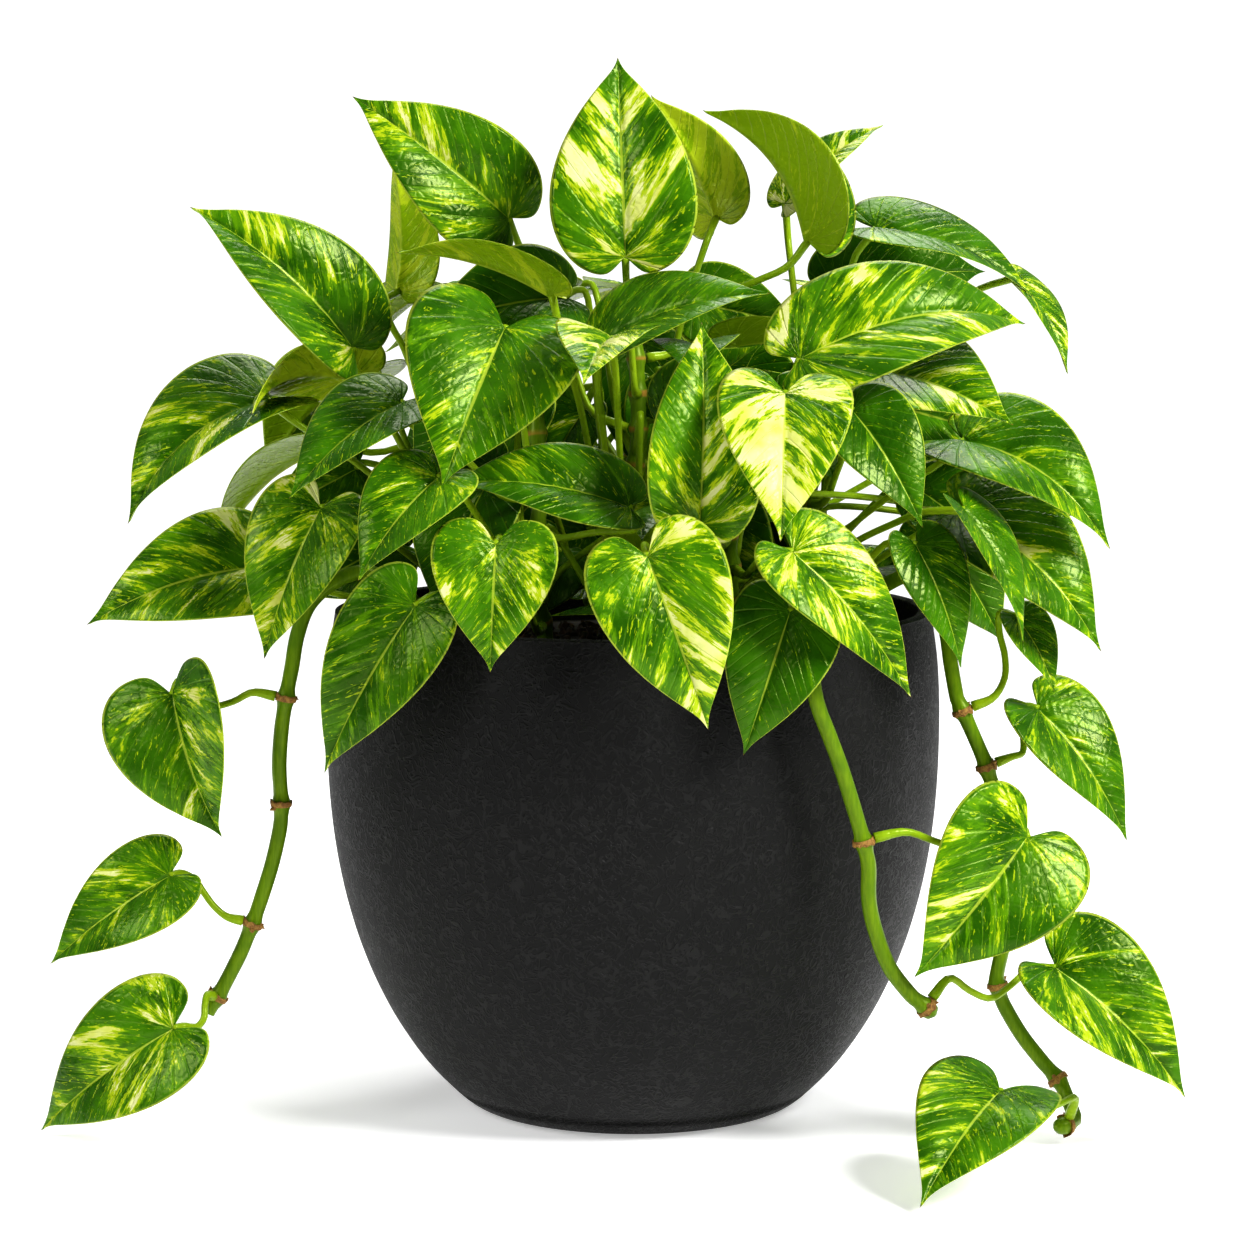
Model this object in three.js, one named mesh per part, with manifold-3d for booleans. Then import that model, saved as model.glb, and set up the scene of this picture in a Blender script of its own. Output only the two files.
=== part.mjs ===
// A golden pothos growing in a round, matt-black bowl planter, as one three.js scene graph.
// Millimetres, +Z up. The origin is the centre of the pot's flat foot, and -Y is the plant's front.
//
// The pot and its soil are lathed. Every stem and every leaf is a skin drawn over a row of rings:
// a leaf runs from the foot of its stalk, through the notch of its heart-shaped blade, to its tip.
// Leaves are placed one after another, and each is eased aside until it clears what is there.
import * as THREE from "three";
import Module from "manifold-3d";

// ---------- driving dimensions ----------

const potRadius = 122.5; // at the belly
const potHeight = 200;
const bellyHeight = 155;
const footRadius = 66;
const rimRadius = 118.5; // outside, where the lip begins
const flankPower = 2.3; // 2 makes each flank an ellipse, and more makes it fuller
const potWall = 5;
const potFloor = 7;
const soilDrop = 18; // from the rim down to the soil at the wall
const soilMound = 5; // how much higher the soil stands in the middle
const gap = 0.4; // between pieces that meet

const vineRadius = 2.9;
const crownRadius = 3.2;
const stemRise = 5; // how far every stem comes straight up out of the soil
const nodeSwell = 0.9; // how much a stem's radius grows at a leaf node
const nodeReach = 4; // half the length of that swelling
const stalkRadius = 1.7;
const stalkTip = 0.9; // its radius where it meets the blade
const stalkLead = 9; // how far a stalk runs straight out of its stem, and straight into its blade
const stalkSettle = 0.8; // how much of that run it spends both behind and below the notch
const bladeThickness = 1.2;
const bladeClearance = 1.8; // free space kept over and under a blade
const stalkClearance = 0.6;

// The plant is laid out for this pot, and spreads and rises with it.
const laidOutFor = { radius: 122.5, height: 200 };

const potSides = 36;
const vineSides = 8;
const crownSides = 6;
const vineStep = 13;
const crownStep = 24;
const stalkSteps = 6;
const bladeRows = 9;
const midribPace = 1.35; // above 1 crowds the blade's first rows together at the notch

// The blade's outline: where its lobes reach furthest back, how far its widest place lies towards
// the tip, how sharply it narrows, and how much of its width the drip tip gives up.
const lobePlace = 0.7;
const widestPlace = 0.88;
const narrowing = 1.4;
const dripTip = 0.5;

const wasm = await Module();
wasm.setup();

// ---------- small helpers ----------

function place([x, y, z]) {
  const spread = potRadius / laidOutFor.radius;
  return new THREE.Vector3(x * spread, y * spread, (z * potHeight) / laidOutFor.height);
}

function across(vector, axis) {
  return vector.clone().addScaledVector(axis, -vector.dot(axis)).normalize();
}

// A closed skin over rings of equal length, drawn to a point at each end. Strips beside each other
// are split on opposite diagonals, so that the two faces of a flat blade bend alike.
function skin(rings, first, last) {
  const sides = rings[0].length;
  const points = [first, ...rings.flat(), last];
  const at = (ring, side) => 1 + ring * sides + (side % sides);
  const end = points.length - 1;
  const index = [];
  for (let side = 0; side < sides; side++) {
    index.push(0, at(0, side), at(0, side + 1));
    index.push(end, at(rings.length - 1, side + 1), at(rings.length - 1, side));
    for (let ring = 0; ring < rings.length - 1; ring++) {
      const [a, b] = [at(ring, side), at(ring, side + 1)];
      const [c, d] = [at(ring + 1, side), at(ring + 1, side + 1)];
      index.push(...(side % 2 ? [a, c, b, b, c, d] : [a, d, b, a, c, d]));
    }
  }
  const geometry = new THREE.BufferGeometry().setFromPoints(points);
  geometry.setIndex(index);
  geometry.computeVertexNormals();
  return geometry;
}

// A ring of points round a centre, in the plane of two directions.
function roundRing(centre, sideways, upwards, radius, sides) {
  return Array.from({ length: sides }, (_, side) => {
    const turn = (2 * Math.PI * side) / sides;
    return centre
      .clone()
      .addScaledVector(sideways, radius * Math.cos(turn))
      .addScaledVector(upwards, radius * Math.sin(turn));
  });
}

// ---------- pot and soil ----------

// The outside follows one rounded curve from the foot to the belly and a second up to the lip.
function outerRadius(z) {
  const below = z < bellyHeight;
  const endRadius = below ? footRadius : rimRadius;
  const reach = below ? bellyHeight : potHeight - bellyHeight;
  const share = Math.abs(z - bellyHeight) / reach;
  const drawnIn = 1 - (endRadius / potRadius) ** 2;
  return potRadius * Math.sqrt(1 - drawnIn * share ** flankPower);
}

function wallCurve(from, to, steps, inset) {
  return Array.from({ length: steps + 1 }, (_, i) => {
    const z = THREE.MathUtils.lerp(from, to, i / steps);
    return new THREE.Vector2(outerRadius(z) - inset, z);
  });
}

function lathe(profile) {
  return new THREE.LatheGeometry(profile, potSides).rotateX(Math.PI / 2);
}

const lip = potWall / 2;
const innerWall = wallCurve(potFloor, potHeight - lip, 9, potWall);

function potGeometry() {
  const lipCentre = outerRadius(potHeight - lip) - lip;
  const lipArc = [30, 90, 150].map((degrees) => {
    const turn = THREE.MathUtils.degToRad(degrees);
    return new THREE.Vector2(lipCentre + lip * Math.cos(turn), potHeight - lip + lip * Math.sin(turn));
  });
  return lathe([
    new THREE.Vector2(0, 0),
    ...wallCurve(0, potHeight - lip, 12, 0),
    ...lipArc,
    ...innerWall.toReversed(),
    new THREE.Vector2(0, potFloor),
  ]);
}

const soilEdge = potHeight - soilDrop;

function soilHeight(radius) {
  const wallRadius = outerRadius(soilEdge) - potWall;
  return soilEdge + soilMound * (1 - (radius / wallRadius) ** 2);
}

// The soil's side keeps a gap from the pot's inner wall, and turns where that wall does.
function soilSide(z) {
  const above = Math.max(1, innerWall.findIndex((point) => point.y >= z));
  const [low, high] = [innerWall[above - 1], innerWall[above]];
  return low.clone().lerp(high, (z - low.y) / (high.y - low.y)).sub(new THREE.Vector2(gap, 0));
}

function soilGeometry() {
  const turns = innerWall.map((point) => point.y).filter((z) => z > potFloor + gap && z < soilEdge);
  const wall = [potFloor + gap, ...turns, soilEdge].map(soilSide);
  const edge = wall[wall.length - 1].x;
  const top = [2 / 3, 1 / 3, 0].map((share) => new THREE.Vector2(edge * share, soilHeight(edge * share)));
  return lathe([new THREE.Vector2(0, potFloor + gap), ...wall, ...top]);
}

// ---------- stems ----------

// A stem's rings lie every step along its curve, with three more at each of its leaf nodes.
class Stem {
  constructor(name, points, { radius, sides, step, nodes }) {
    this.name = name;
    this.radius = radius;
    this.sides = sides;
    const [foot, ...rest] = points.map(place);
    foot.z = soilHeight(Math.hypot(foot.x, foot.y)) + gap;
    const route = [foot, foot.clone().setZ(foot.z + stemRise), ...rest];
    this.curve = new THREE.CatmullRomCurve3(route, false, "centripetal");
    this.length = this.curve.getLength();
    this.nodes = nodes.map((share) => share * this.length);
    this.step = step;
  }

  radiusAt(distance) {
    const swell = this.nodes.map((node) => Math.max(0, 1 - Math.abs(distance - node) / nodeReach));
    return this.radius + nodeSwell * Math.max(0, ...swell);
  }

  stations() {
    const count = Math.round(this.length / this.step);
    const even = Array.from({ length: count + 1 }, (_, i) => (this.length * i) / count);
    const apart = even.filter((d) => this.nodes.every((node) => Math.abs(d - node) > 1.6 * nodeReach));
    const swollen = this.nodes.flatMap((node) => [node - nodeReach, node, node + nodeReach]);
    return [...apart, ...swollen].filter((d) => d >= 0 && d <= this.length).sort((a, b) => a - b);
  }

  geometry(grow = 0) {
    const stations = this.stations();
    let sideways = new THREE.Vector3(1, 0, 0);
    const rings = stations.map((distance) => {
      const ahead = this.curve.getTangentAt(distance / this.length);
      sideways = across(sideways, ahead);
      const upwards = sideways.clone().cross(ahead);
      const centre = this.curve.getPointAt(distance / this.length);
      return roundRing(centre, sideways, upwards, this.radiusAt(distance) + grow, this.sides);
    });
    return skin(rings, this.curve.getPointAt(0), this.curve.getPointAt(1));
  }

  // Where a leaf stalk starts at a node, on the side that faces a target, and its way out.
  socket(node, target) {
    const distance = this.nodes[node];
    const centre = this.curve.getPointAt(distance / this.length);
    const ahead = this.curve.getTangentAt(distance / this.length);
    const out = across(target.clone().sub(centre), ahead);
    const start = centre.clone().addScaledVector(out, this.radiusAt(distance) + gap);
    return { start, out };
  }
}

const crown = { radius: crownRadius, sides: crownSides, step: crownStep };
const vine = { radius: vineRadius, sides: vineSides, step: vineStep };

// Evenly spaced nodes up a crown stem, the first a little above the soil.
function evenNodes(count) {
  return Array.from({ length: count }, (_, i) => 0.12 + (0.84 * i) / (count - 1));
}

const stems = [
  new Stem("crown_stem_front_left", [[-34, -38, 0], [-38, -46, 215], [-36, -50, 250], [-38, -44, 288]],
    { ...crown, nodes: evenNodes(8) }),
  new Stem("crown_stem_front_right", [[34, -36, 0], [38, -44, 212], [36, -50, 246], [40, -46, 284]],
    { ...crown, nodes: evenNodes(8) }),
  new Stem("crown_stem_left", [[-58, 8, 0], [-66, 4, 215], [-72, 2, 250], [-74, 0, 290]],
    { ...crown, nodes: evenNodes(7) }),
  new Stem("crown_stem_right", [[58, 6, 0], [66, 2, 212], [70, 0, 246], [72, -4, 290]],
    { ...crown, nodes: evenNodes(9) }),
  new Stem("crown_stem_middle", [[0, -6, 0], [-4, -4, 225], [2, -8, 268], [0, -6, 318]],
    { ...crown, nodes: evenNodes(9) }),
  new Stem("crown_stem_rear", [[4, 48, 0], [2, 54, 215], [0, 58, 250], [2, 60, 290]],
    { ...crown, nodes: evenNodes(7) }),
  new Stem("vine_left",
    [[-74, -34, 0], [-84, -42, 205], [-104, -54, 219], [-124, -60, 207], [-131, -62, 182], [-136, -61, 150],
      [-136, -60, 122], [-144, -60, 92], [-155, -60, 65], [-165, -60, 48]],
    { ...vine, nodes: [0.47, 0.64, 0.84, 0.97] }),
  new Stem("vine_right_front",
    [[62, -58, 0], [66, -76, 204], [66, -98, 218], [65, -116, 205], [66, -122, 182], [76, -118, 154],
      [87, -113, 116], [88, -112, 98], [98, -110, 72], [113, -105, 57]],
    { ...vine, nodes: [0.36, 0.68, 0.98] }),
  new Stem("vine_right_rear",
    [[82, -24, 0], [92, -34, 206], [108, -46, 217], [119, -55, 200], [124, -60, 172], [133, -60, 152],
      [143, -60, 120], [147, -60, 90], [141, -60, 60], [152, -60, 37], [166, -63, 20], [170, -72, 9],
      [162, -80, 7]],
    { ...vine, nodes: [0.37, 0.45, 0.75, 0.9, 0.98] }),
];
const stemNamed = Object.fromEntries(stems.map((stem) => [stem.name, stem]));

// ---------- leaves ----------

const smooth = (t) => t * t * (3 - 2 * t);

// The blade's edge, from the notch (0) by the lobe to the tip (1): how far along the midrib, as a
// share of the blade's length, and how far out, as a share of its half width.
function edgeAlong(t, lobe) {
  return smooth(t) - lobe * Math.sin(Math.PI * t ** lobePlace);
}

function edgeOut(t) {
  return Math.sin(Math.PI * t ** widestPlace) ** narrowing * (1 - dripTip * t ** 6);
}

// A leaf: its stalk leaves a stem node, meets the blade from behind at the notch, and the blade
// runs on to the tip. `face` is the way its upper side looks, `fold` lifts both halves from the
// midrib, `arch` bows the midrib, and `bend` pushes the middle of the stalk.
class Leaf {
  constructor(name, stem, node, base, tip, face, shape = {}) {
    const defaults = { width: 0.8, lobe: 0.29, fold: 12, arch: 0.08, bend: [0, 0, 0] };
    Object.assign(this, defaults, shape, { name: "leaf_" + name, stem: stemNamed[stem], node });
    this.base = place(base);
    this.tip = place(tip);
    this.ahead = this.tip.clone().sub(this.base);
    this.length = this.ahead.length();
    this.ahead.normalize();
    this.up = across(new THREE.Vector3(...face), this.ahead);
    this.bend = new THREE.Vector3(...this.bend);
    this.lift = 0;
    this.slide = 0;
    this.sway = 0;
  }

  // A point of the midrib with the blade's own axes there. The midrib bows in a parabola, and goes
  // on past its ends in a straight line.
  midrib(share) {
    const held = THREE.MathUtils.clamp(share, 0, 1);
    const slope = 4 * this.arch * (1 - 2 * held);
    const forward = this.ahead.clone().addScaledVector(this.up, slope);
    const point = this.base
      .clone()
      .addScaledVector(this.up, this.lift + 4 * this.arch * this.length * held * (1 - held))
      .addScaledVector(this.ahead, this.slide + this.length * held)
      .addScaledVector(forward, this.length * (share - held));
    forward.normalize();
    const upwards = across(this.up, forward);
    return { point, forward, upwards, rightwards: forward.clone().cross(upwards) };
  }

  bladeRing(t, grow) {
    const { point, upwards } = this.midrib(t ** midribPace);
    const edge = this.midrib(edgeAlong(t, this.lobe));
    const halfWidth = 0.5 * this.width * this.length * edgeOut(t);
    const fold = THREE.MathUtils.degToRad(this.fold);
    const rim = (hand) =>
      edge.point
        .clone()
        .addScaledVector(edge.rightwards, hand * halfWidth * Math.cos(fold))
        .addScaledVector(edge.upwards, halfWidth * Math.sin(fold));
    const half = Math.min(bladeThickness, halfWidth) / 2 + grow;
    const top = point.clone().addScaledVector(upwards, half);
    const bottom = point.clone().addScaledVector(upwards, -half);
    return [rim(1), top, rim(-1), bottom];
  }

  stalk() {
    const notch = this.midrib(0);
    const { start, out } = this.stem.socket(this.node, notch.point);
    const lead = Math.min(stalkLead, notch.point.distanceTo(start) / 4);
    const leaving = start.clone().addScaledVector(out, lead);
    const arriving = notch.point
      .clone()
      .addScaledVector(notch.forward.clone().add(notch.upwards), -stalkSettle * lead);
    const sideways = out.clone().cross(new THREE.Vector3(0, 0, 1));
    const middle = leaving.clone().lerp(arriving, 0.5).add(this.bend).addScaledVector(sideways, this.sway);
    const points = [start, leaving, middle, arriving, notch.point];
    return new THREE.CatmullRomCurve3(points, false, "centripetal");
  }

  geometry(grow = { blade: 0, stalk: 0 }) {
    const curve = this.stalk();
    let sideways = this.midrib(0).rightwards;
    const rings = [];
    for (let step = stalkSteps; step >= 0; step--) {
      const ahead = curve.getTangentAt(step / stalkSteps);
      sideways = across(sideways, ahead);
      const upwards = sideways.clone().cross(ahead);
      const centre = curve.getPointAt(step / stalkSteps);
      const radius = step < stalkSteps ? stalkRadius + grow.stalk : stalkTip;
      rings.unshift(roundRing(centre, sideways, upwards, radius, 4));
    }
    for (let row = 1; row <= bladeRows; row++) {
      rings.push(this.bladeRing(row / (bladeRows + 1), grow.blade));
    }
    return skin(rings, curve.getPointAt(0), this.midrib(1).point);
  }
}

const FL = "crown_stem_front_left";
const FR = "crown_stem_front_right";
const LEFT = "crown_stem_left";
const RIGHT = "crown_stem_right";
const MID = "crown_stem_middle";
const REAR = "crown_stem_rear";
const V_LEFT = "vine_left";
const V_FRONT = "vine_right_front";
const V_REAR = "vine_right_rear";

const leaves = [
  // the trailing vines, from the rim down
  new Leaf("vine_left_first", V_LEFT, 0, [-176, -66, 173], [-157, -74, 119], [-0.5, -0.82, 0.2],
    { width: 1.05, fold: 20, bend: [0, 0, -8] }),
  new Leaf("vine_left_second", V_LEFT, 2, [-178, -68, 103], [-225, -65, 68], [-0.1, -0.85, 0.5],
    { width: 0.68 }),
  new Leaf("vine_left_last", V_LEFT, 3, [-176, -80, 46], [-230, -64, 2], [-0.2, -0.85, 0.45],
    { width: 0.72, bend: [2, -4, -5] }),
  new Leaf("vine_right_small", V_REAR, 0, [147, -62, 202], [161, -66, 174], [0.5, -0.75, 0.4],
    { width: 0.75, bend: [4, 0, -6] }),
  new Leaf("vine_right_upper", V_REAR, 1, [156, -56, 166], [190, -64, 116], [0.45, -0.75, 0.5],
    { width: 0.72, bend: [2, 0, -8] }),
  new Leaf("vine_right_broad", V_FRONT, 1, [147, -102, 124], [104, -118, 74], [0.3, -0.9, 0.3],
    { width: 0.9, bend: [4, 2, -8] }),
  new Leaf("vine_right_low", V_FRONT, 2, [161, -82, 70], [211, -84, 20], [0.5, -0.75, 0.4],
    { width: 0.8, fold: 20, bend: [0, 0, -10] }),
  new Leaf("vine_right_last", V_REAR, 4, [136, -122, 32], [102, -176, 3], [-0.1, -0.65, 0.75],
    { width: 0.74, bend: [0, 0, -4] }),
  // the low tier, hanging over the rim
  new Leaf("front_dark_heart", FR, 0, [57, -124, 211], [40, -130, 159], [0, -0.95, 0.2],
    { width: 0.78 }),
  new Leaf("front_heart", FR, 1, [5, -142, 233], [27, -141, 170], [0, -0.93, 0.3], { width: 0.8 }),
  new Leaf("front_left_heart", FL, 0, [-50, -128, 236], [-52, -134, 190], [0, -0.9, 0.4],
    { width: 1.02, lobe: 0.33 }),
  new Leaf("left_hanging", FL, 1, [-81, -105, 211], [-116, -95, 147], [-0.3, -0.9, 0.2],
    { width: 0.62 }),
  new Leaf("left_low_heart", LEFT, 1, [-118, -75, 245], [-139, -85, 189], [-0.25, -0.85, 0.45],
    { width: 0.78 }),
  new Leaf("left_low_wing", LEFT, 0, [-146, -35, 219], [-211, -50, 198], [-0.05, -0.8, 0.55],
    { width: 0.76, arch: 0.12 }),
  new Leaf("right_hanging", FR, 2, [58, -125, 233], [102, -120, 179], [0.45, -0.75, 0.35],
    { width: 0.62 }),
  new Leaf("right_dark", RIGHT, 0, [106, -85, 232], [123, -90, 186], [0.4, -0.85, 0.3],
    { width: 0.62 }),
  new Leaf("right_low_wing", RIGHT, 1, [125, -52, 242], [178, -72, 190], [0.4, -0.72, 0.5],
    { width: 0.78, arch: 0.12 }),
  new Leaf("right_narrow", RIGHT, 2, [124, -84, 245], [146, -92, 196], [0.8, -0.5, 0.3],
    { width: 0.6 }),
  // the middle tier
  new Leaf("left_middle_heart", FL, 2, [-72, -110, 259], [-100, -130, 223], [-0.3, -0.75, 0.6],
    { width: 0.85 }),
  new Leaf("centre_lying", FL, 3, [-2, -105, 248], [-69, -108, 257], [0.1, -0.6, 0.78],
    { width: 0.66, lobe: 0.2 }),
  new Leaf("centre_upright", FR, 3, [24, -125, 243], [25, -105, 316], [0.15, -0.95, 0.2],
    { width: 0.58, lobe: 0.18 }),
  new Leaf("cream_heart", FR, 4, [55, -110, 283], [52, -145, 232], [0, -0.85, 0.5],
    { width: 0.82 }),
  new Leaf("right_middle_dark", FR, 5, [81, -100, 283], [106, -115, 241], [0.25, -0.85, 0.4],
    { width: 0.75 }),
  new Leaf("right_middle_wing", RIGHT, 3, [127, -50, 269], [181, -70, 229], [0.35, -0.7, 0.6],
    { width: 0.8, arch: 0.16, fold: 16 }),
  new Leaf("right_middle_broad", RIGHT, 4, [95, -60, 296], [142, -85, 277], [0.15, -0.7, 0.65],
    { width: 0.95 }),
  new Leaf("left_middle_wing", FL, 4, [-87, -80, 285], [-127, -105, 251], [-0.25, -0.6, 0.8],
    { width: 0.8 }),
  new Leaf("far_left", LEFT, 3, [-143, -20, 283], [-196, -40, 236], [-0.45, -0.65, 0.6],
    { width: 0.82, arch: 0.16, fold: 18 }),
  // the upper tier
  new Leaf("big_heart", FL, 5, [-48, -85, 313], [-70, -118, 256], [0.05, -0.88, 0.47],
    { width: 1 }),
  new Leaf("star", MID, 1, [-8, -95, 304], [-18, -142, 289], [0, -0.3, 0.95],
    { width: 0.8, fold: 18 }),
  new Leaf("centre_shelf", MID, 2, [-13, -60, 306], [51, -80, 326], [-0.1, -0.55, 0.83],
    { width: 0.7, lobe: 0.22 }),
  new Leaf("right_shoulder", RIGHT, 5, [62, -90, 302], [149, -60, 314], [0.12, -0.72, 0.68],
    { width: 0.6, arch: 0.16, lobe: 0.2 }),
  new Leaf("right_back", RIGHT, 6, [97, 10, 350], [160, 10, 323], [0.3, -0.45, 0.84],
    { width: 0.66, arch: 0.1 }),
  new Leaf("right_back_tip", RIGHT, 7, [153, 25, 330], [174, 10, 292], [0.7, -0.4, 0.6],
    { width: 0.7 }),
  new Leaf("left_pale", LEFT, 4, [-115, -12, 296], [-149, -60, 284], [-0.45, 0.5, 0.74],
    { width: 0.7, arch: 0.16 }),
  new Leaf("left_wing", LEFT, 5, [-115, -30, 307], [-176, -40, 361], [0.3, -0.74, 0.55],
    { width: 0.66, arch: 0.1, lobe: 0.2, fold: 20 }),
  new Leaf("left_upright", LEFT, 6, [-94, 15, 325], [-96, 15, 379], [0.6, 0.75, 0.1],
    { width: 0.6, fold: 24, lobe: 0.18 }),
  // the top
  new Leaf("top_shelf", MID, 3, [-31, -55, 325], [-90, -60, 341], [0.2, 0.1, 0.95],
    { width: 0.7, fold: 22, lobe: 0.2 }),
  new Leaf("top_left", MID, 5, [-49, -10, 354], [-109, -20, 401], [0.15, -0.95, 0.25],
    { width: 0.66, lobe: 0.2 }),
  new Leaf("top_centre", MID, 6, [-3, -40, 339], [-6, -20, 416], [0, -1, 0.15],
    { width: 0.73, lobe: 0.18, arch: 0.05 }),
  new Leaf("top_pale", MID, 7, [33, 10, 354], [7, 15, 403], [0.5, 0.8, 0.27],
    { width: 0.7, lobe: 0.2 }),
  new Leaf("top_right", MID, 8, [68, -20, 345], [27, -10, 396], [0.72, -0.02, 0.68],
    { width: 0.85, fold: 48, arch: 0.14, lobe: 0.2 }),
  new Leaf("top_right_small", RIGHT, 8, [62, 40, 360], [102, 45, 392], [-0.3, -0.5, 0.8],
    { width: 0.6, lobe: 0.2 }),
];

// The rear: leaves fanned round the back of the crown in two tiers by turns, the low one drooping.
const rearTiers = [
  { base: [132, 262], tip: [186, 212] },
  { base: [108, 325], tip: [158, 297] },
];
const rearLeaves = 7;
const [rearStart, rearEnd] = [20, 160];
for (let i = 0; i < rearLeaves; i++) {
  const turn = THREE.MathUtils.degToRad(THREE.MathUtils.lerp(rearStart, rearEnd, i / (rearLeaves - 1)));
  const outward = (radius, z) => [Math.cos(turn) * radius, Math.sin(turn) * radius, z];
  const { base, tip } = rearTiers[i % 2];
  const shape = { width: 0.78, arch: 0.12 };
  leaves.push(
    new Leaf("rear_" + (i + 1), REAR, i, outward(...base), outward(...tip), outward(0.6, 0.75), shape),
  );
}

// ---------- placing the leaves clear of each other ----------

function solidOf(geometry) {
  return new wasm.Manifold(
    new wasm.Mesh({
      numProp: 3,
      vertProperties: new Float32Array(geometry.getAttribute("position").array),
      triVerts: new Uint32Array(geometry.getIndex().array),
    }),
  );
}

function boxOf(geometry) {
  geometry.computeBoundingBox();
  return geometry.boundingBox;
}

// Pot and soil are lathed with a seam, so their merged skins are made here from their profiles.
function latheSolid(geometry) {
  const position = geometry.getAttribute("position");
  const seen = new Map();
  const points = [];
  const same = Array.from({ length: position.count }, (_, i) => {
    const point = new THREE.Vector3().fromBufferAttribute(position, i);
    const key = point.toArray().map((v) => Math.round(v * 1e3)).join();
    if (!seen.has(key)) seen.set(key, points.push(point) - 1);
    return seen.get(key);
  });
  const index = Array.from(geometry.getIndex().array, (i) => same[i]);
  const kept = [];
  for (let i = 0; i < index.length; i += 3) {
    const [a, b, c] = index.slice(i, i + 3);
    if (a !== b && b !== c && a !== c) kept.push(a, b, c);
  }
  const merged = new THREE.BufferGeometry().setFromPoints(points);
  merged.setIndex(kept);
  merged.computeVertexNormals();
  return merged;
}

const potSkin = latheSolid(potGeometry());
const soilSkin = latheSolid(soilGeometry());
const standing = [potSkin, soilSkin, ...stems.map((stem) => stem.geometry())]
  .map((geometry) => ({ solid: solidOf(geometry), box: boxOf(geometry) }));

function isClear(geometry) {
  const box = boxOf(geometry);
  const near = standing.filter((other) => other.box.intersectsBox(box));
  const solid = solidOf(geometry);
  return near.every((other) => solid.intersect(other.solid).volume() === 0);
}

// A leaf may move out along its own face, slide along its midrib, and sway its stalk to a side.
const bothWays = (steps) => [0, ...steps, ...steps.map((step) => -step)];
const lifts = bothWays([3, 6, 9, 13, 17, 22, 28, 35]);
const slides = bothWays([6, 12]);
const sways = bothWays([8, 16, 26, 38]);
const moves = lifts.flatMap((lift) => slides.flatMap((slide) => sways.map((sway) => ({ lift, slide, sway }))));
const effort = (move) => Math.abs(move.lift) + Math.abs(move.slide) + Math.abs(move.sway) / 2;
moves.sort((a, b) => effort(a) - effort(b));
const keptClear = { blade: bladeClearance, stalk: stalkClearance };
for (const leaf of leaves) {
  const found = moves.find((move) => {
    Object.assign(leaf, move);
    return isClear(leaf.geometry(keptClear));
  });
  if (!found) throw new Error(leaf.name + " finds no free place");
  const geometry = leaf.geometry();
  standing.push({ solid: solidOf(geometry), box: boxOf(geometry) });
}

// ---------- the scene graph ----------

const finishes = {
  pot: new THREE.MeshStandardMaterial({ color: 0x202020, roughness: 0.6, metalness: 0 }),
  soil: new THREE.MeshStandardMaterial({ color: 0x2b1f17, roughness: 0.95, metalness: 0 }),
  stem: new THREE.MeshStandardMaterial({ color: 0x6f9a2c, roughness: 0.45, metalness: 0 }),
  leaf: new THREE.MeshStandardMaterial({ color: 0x3f8a1f, roughness: 0.3, metalness: 0 }),
};

const plant = new THREE.Group();

function addNode(name, geometry, material) {
  const mesh = new THREE.Mesh(geometry, material);
  mesh.name = name;
  plant.add(mesh);
}

addNode("pot", potSkin, finishes.pot);
addNode("potting_soil", soilSkin, finishes.soil);
stems.forEach((stem) => addNode(stem.name, stem.geometry(), finishes.stem));
leaves.forEach((leaf) => addNode(leaf.name, leaf.geometry(), finishes.leaf));

export default plant;
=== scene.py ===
"""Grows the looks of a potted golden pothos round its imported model.

Every leaf, stem, the soil and the bowl take their shape and place from the model's own nodes, which
each finer piece then stands for. Lengths are in metres, and the frame is the model's own.
"""

import math
import random

import bmesh
import bpy
import numpy as np
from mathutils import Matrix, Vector, noise
from mathutils.bvhtree import BVHTree


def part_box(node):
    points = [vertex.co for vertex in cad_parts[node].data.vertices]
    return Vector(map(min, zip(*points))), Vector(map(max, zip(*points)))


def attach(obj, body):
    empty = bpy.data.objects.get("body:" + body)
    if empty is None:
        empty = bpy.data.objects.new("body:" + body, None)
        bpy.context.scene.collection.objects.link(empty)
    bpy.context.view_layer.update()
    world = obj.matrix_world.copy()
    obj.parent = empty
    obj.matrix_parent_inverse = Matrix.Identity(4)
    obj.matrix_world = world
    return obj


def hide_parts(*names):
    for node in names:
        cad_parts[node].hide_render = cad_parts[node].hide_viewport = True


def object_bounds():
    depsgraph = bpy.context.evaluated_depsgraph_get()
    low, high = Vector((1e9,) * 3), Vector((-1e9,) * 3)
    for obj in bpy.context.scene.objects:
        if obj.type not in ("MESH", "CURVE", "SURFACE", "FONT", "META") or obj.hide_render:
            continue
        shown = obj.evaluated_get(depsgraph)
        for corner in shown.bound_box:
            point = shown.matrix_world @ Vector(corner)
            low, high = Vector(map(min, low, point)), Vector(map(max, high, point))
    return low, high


bl_info = {
    "name": "Golden Pothos in a Bowl Planter",
    "version": (1, 0, 0),
    "blender": (4, 5, 0),
    "location": "View3D > Sidebar > Pothos",
    "description": "Skins the leaves, stems, soil and planter of a potted pothos",
    "category": "Add Mesh",
}

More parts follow.
